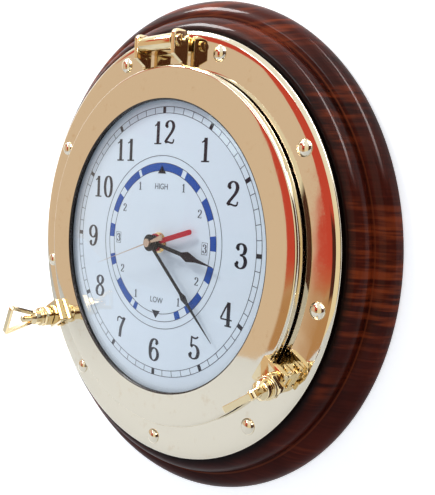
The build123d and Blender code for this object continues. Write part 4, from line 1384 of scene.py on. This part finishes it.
@dataclass
class Studio:
    """White wall and floor, the room that the brass mirrors, lamps and the camera."""

    floor: float = -0.34
    floor_reach: float = 0.90
    reach: float = 4.0
    shown: float = 0.60
    covered: float = 0.170
    gap: float = 0.0004
    wall_colour: Colour = (0.90, 0.90, 0.90)
    floor_colour: Colour = (0.50, 0.53, 0.58)
    floor_shown: float = 0.25
    even_light: Colour = (0.51, 0.53, 0.57)

    def build(self) -> None:
        """Set up the stage."""
        self._room()
        self._wall_and_floor()
        self._lamp("key", (-0.80, -0.62, 1.05), (0.40, 0.30), 14.0)
        self._camera()
        bpy.context.scene.view_settings.view_transform = "Standard"

    def _room(self) -> None:
        """World: white for the eye, a room for mirrors and an even light for the rest."""
        world = bpy.data.worlds.new("room")
        bpy.context.scene.world = world
        world.use_nodes = True
        g = Graph(world.node_tree)
        way = g.add("ShaderNodeTexCoord", output="Generated")
        x = g.add("ShaderNodeSeparateXYZ", None, {0: way}, "X")
        across = x.math("ARCTAN2", x.other("Y") * -1.0) * math.degrees(1)
        height = x.other("Z").math("ARCSINE") * math.degrees(1)
        slant = height + (across + 45.0) * 0.6
        above = height.step(17.0, 18.0) * across.step(-68.0, -64.0)
        beside = across.step(-35.5, -34.9) * height.step(-9.0, -8.0)
        red = above.math("MAXIMUM", beside)
        amber = across.step(-37.0, -34.5) * height.step(-5.0, -10.0)
        brown = across.step(-25.0, -23.5) * height.step(2.0, -1.0) * height.step(-11.0, -9.0)
        cream = across.step(-14.0, -12.5).math("MAXIMUM", height.step(27.5, 28.8))
        cream = cream.math("MAXIMUM", slant.step(31.0, 32.5) * across.step(-38.0, -36.0))
        window = slant.step(31.0, 32.5) * slant.step(38.0, 36.5)
        window = window * across.step(-36.4, -35.8) * across.step(-21.0, -22.0)
        dark = across.step(26.0, 32.0) * height.step(30.0, 24.0)
        strip = across.step(50.0, 53.0) * across.step(68.0, 65.0) * height.step(26.0, 44.0)
        floor = (height + (across + 50.0) * 0.35).step(-14.5, -18.0)
        pale = g.blend(height.step(0.0, 30.0), (0.88, 0.76, 0.52), (0.98, 0.98, 0.94))
        ceiling = height.step(46.0, 56.0) * across.step(-10.0, 10.0)
        colour: Value | Colour = (0.73, 0.57, 0.43)
        for share, shade in (
            (red, (0.60, 0.072, 0.045)),
            (amber, (0.50, 0.27, 0.12)),
            (brown, (0.075, 0.022, 0.016)),
            (cream, pale),
            (window, (6.0, 7.0, 7.2)),
            (ceiling, (1.9, 1.6, 1.5)),
            (dark, (0.085, 0.036, 0.026)),
            (strip, (26.0, 24.0, 23.5)),
            (floor, (0.80, 0.84, 0.91)),
        ):
            colour = g.blend(share, colour, shade)
        eye, mirror = g.rays()
        shade = g.blend(mirror, self.even_light, colour)
        shade = g.blend(eye, shade, (1.0, 1.0, 1.0))
        sky = g.add("ShaderNodeBackground", None, {"Color": shade}, "Background")
        g.add("ShaderNodeOutputWorld", None, {"Surface": sky})

    def _wall_and_floor(self) -> None:
        """White wall behind the clock and floor below it."""
        r, low, back = self.reach, self.floor, self.gap
        wall = [(-r, back, low), (r, back, low), (r, back, r), (-r, back, r)]
        front = -self.floor_reach
        floor = [(-r, front, low), (r, front, low), (r, back, low), (-r, back, low)]
        self._plane("white_wall", wall, self.wall_colour, self.shown, self.covered)
        self._plane("white_floor", floor, self.floor_colour, self.floor_shown, 0.0)

    def _plane(
        self, name: str, corners: Sequence[Colour], colour: Colour, mirrored: float, covered: float
    ) -> None:
        """Add a one-sided plane of the stage.

        Args:
            name: Its name.
            corners: Its corners, its front towards the clock.
            colour: Its diffuse colour.
            mirrored: Strength of its glow in mirrors.
            covered: Radius about the clock's axis that is left open, which only the clock's back sees.
        """
        material, g = new_graph(name)
        eye, mirror = g.rays()
        seen = eye * self.shown + mirror * mirrored
        lit = g.add("ShaderNodeBsdfDiffuse", None, {"Color": colour}, "BSDF")
        light = {"Color": (0.98, 0.99, 1.0), "Strength": seen}
        glow = g.add("ShaderNodeEmission", None, light, "Emission")
        front = g.add("ShaderNodeAddShader", None, {0: lit, 1: glow})
        behind = g.add("ShaderNodeNewGeometry", output="Backfacing")
        if covered:
            reach, _, _ = g.from_axis()
            behind = behind.math("MAXIMUM", reach.step(covered + 0.001, covered))
        none = g.add("ShaderNodeBsdfTransparent", None, None, "BSDF")
        g.surface(g.add("ShaderNodeMixShader", None, {0: behind, 1: front, 2: none}))
        mesh = new_mesh(name, corners, [range(4)])
        mesh.materials.append(material)
        plane = put(name, mesh)

    @staticmethod
    def _lamp(name: str, place: Colour, size: Spot, power: float) -> None:
        """Add a soft area lamp that faces the dial."""
        data = bpy.data.lights.new(name, "AREA")
        data.shape = "RECTANGLE"
        data.size, data.size_y = size
        data.energy = power
        back = np.asarray(place) / np.linalg.norm(place)
        side = np.cross((0, 0, 1), back)
        side /= np.linalg.norm(side)
        put(name, data).matrix_world = standing(side, np.cross(back, side), place)

    @staticmethod
    def _camera() -> None:
        """Camera solved from the dial's hour marks and the rings."""
        data = bpy.data.cameras.new("camera")
        focal_pixels, picture_pixels = 685.49, 495
        data.sensor_width = 36.0
        data.lens = focal_pixels / picture_pixels * data.sensor_width
        data.clip_start = 0.01
        camera = put("camera", data)
        right = np.array([0.722307, 0.689568, 0.052618])
        up = np.array([-0.097603, 0.026323, 0.994877])
        camera.matrix_world = standing(right, up, (0.369875, -0.360733, 0.044393))
        bpy.context.scene.camera = camera


def main() -> None:
    """Build the clock's looks in order."""
    logging.basicConfig(level=logging.INFO, format="%(message)s")
    finishes = Finishes()
    WoodenBase().build(finishes)
    Flange().build(finishes)
    Hinge().build(finishes)
    Inside().build(finishes)
    DialPrint().build(finishes)
    Door().build(finishes)
    Dog(Side.LEFT, 240.0, -66.0).build(finishes)
    Dog(Side.RIGHT, 120.0, -34.0, 9.0).build(finishes)
    Studio().build()


if __name__ == "__main__":
    main()
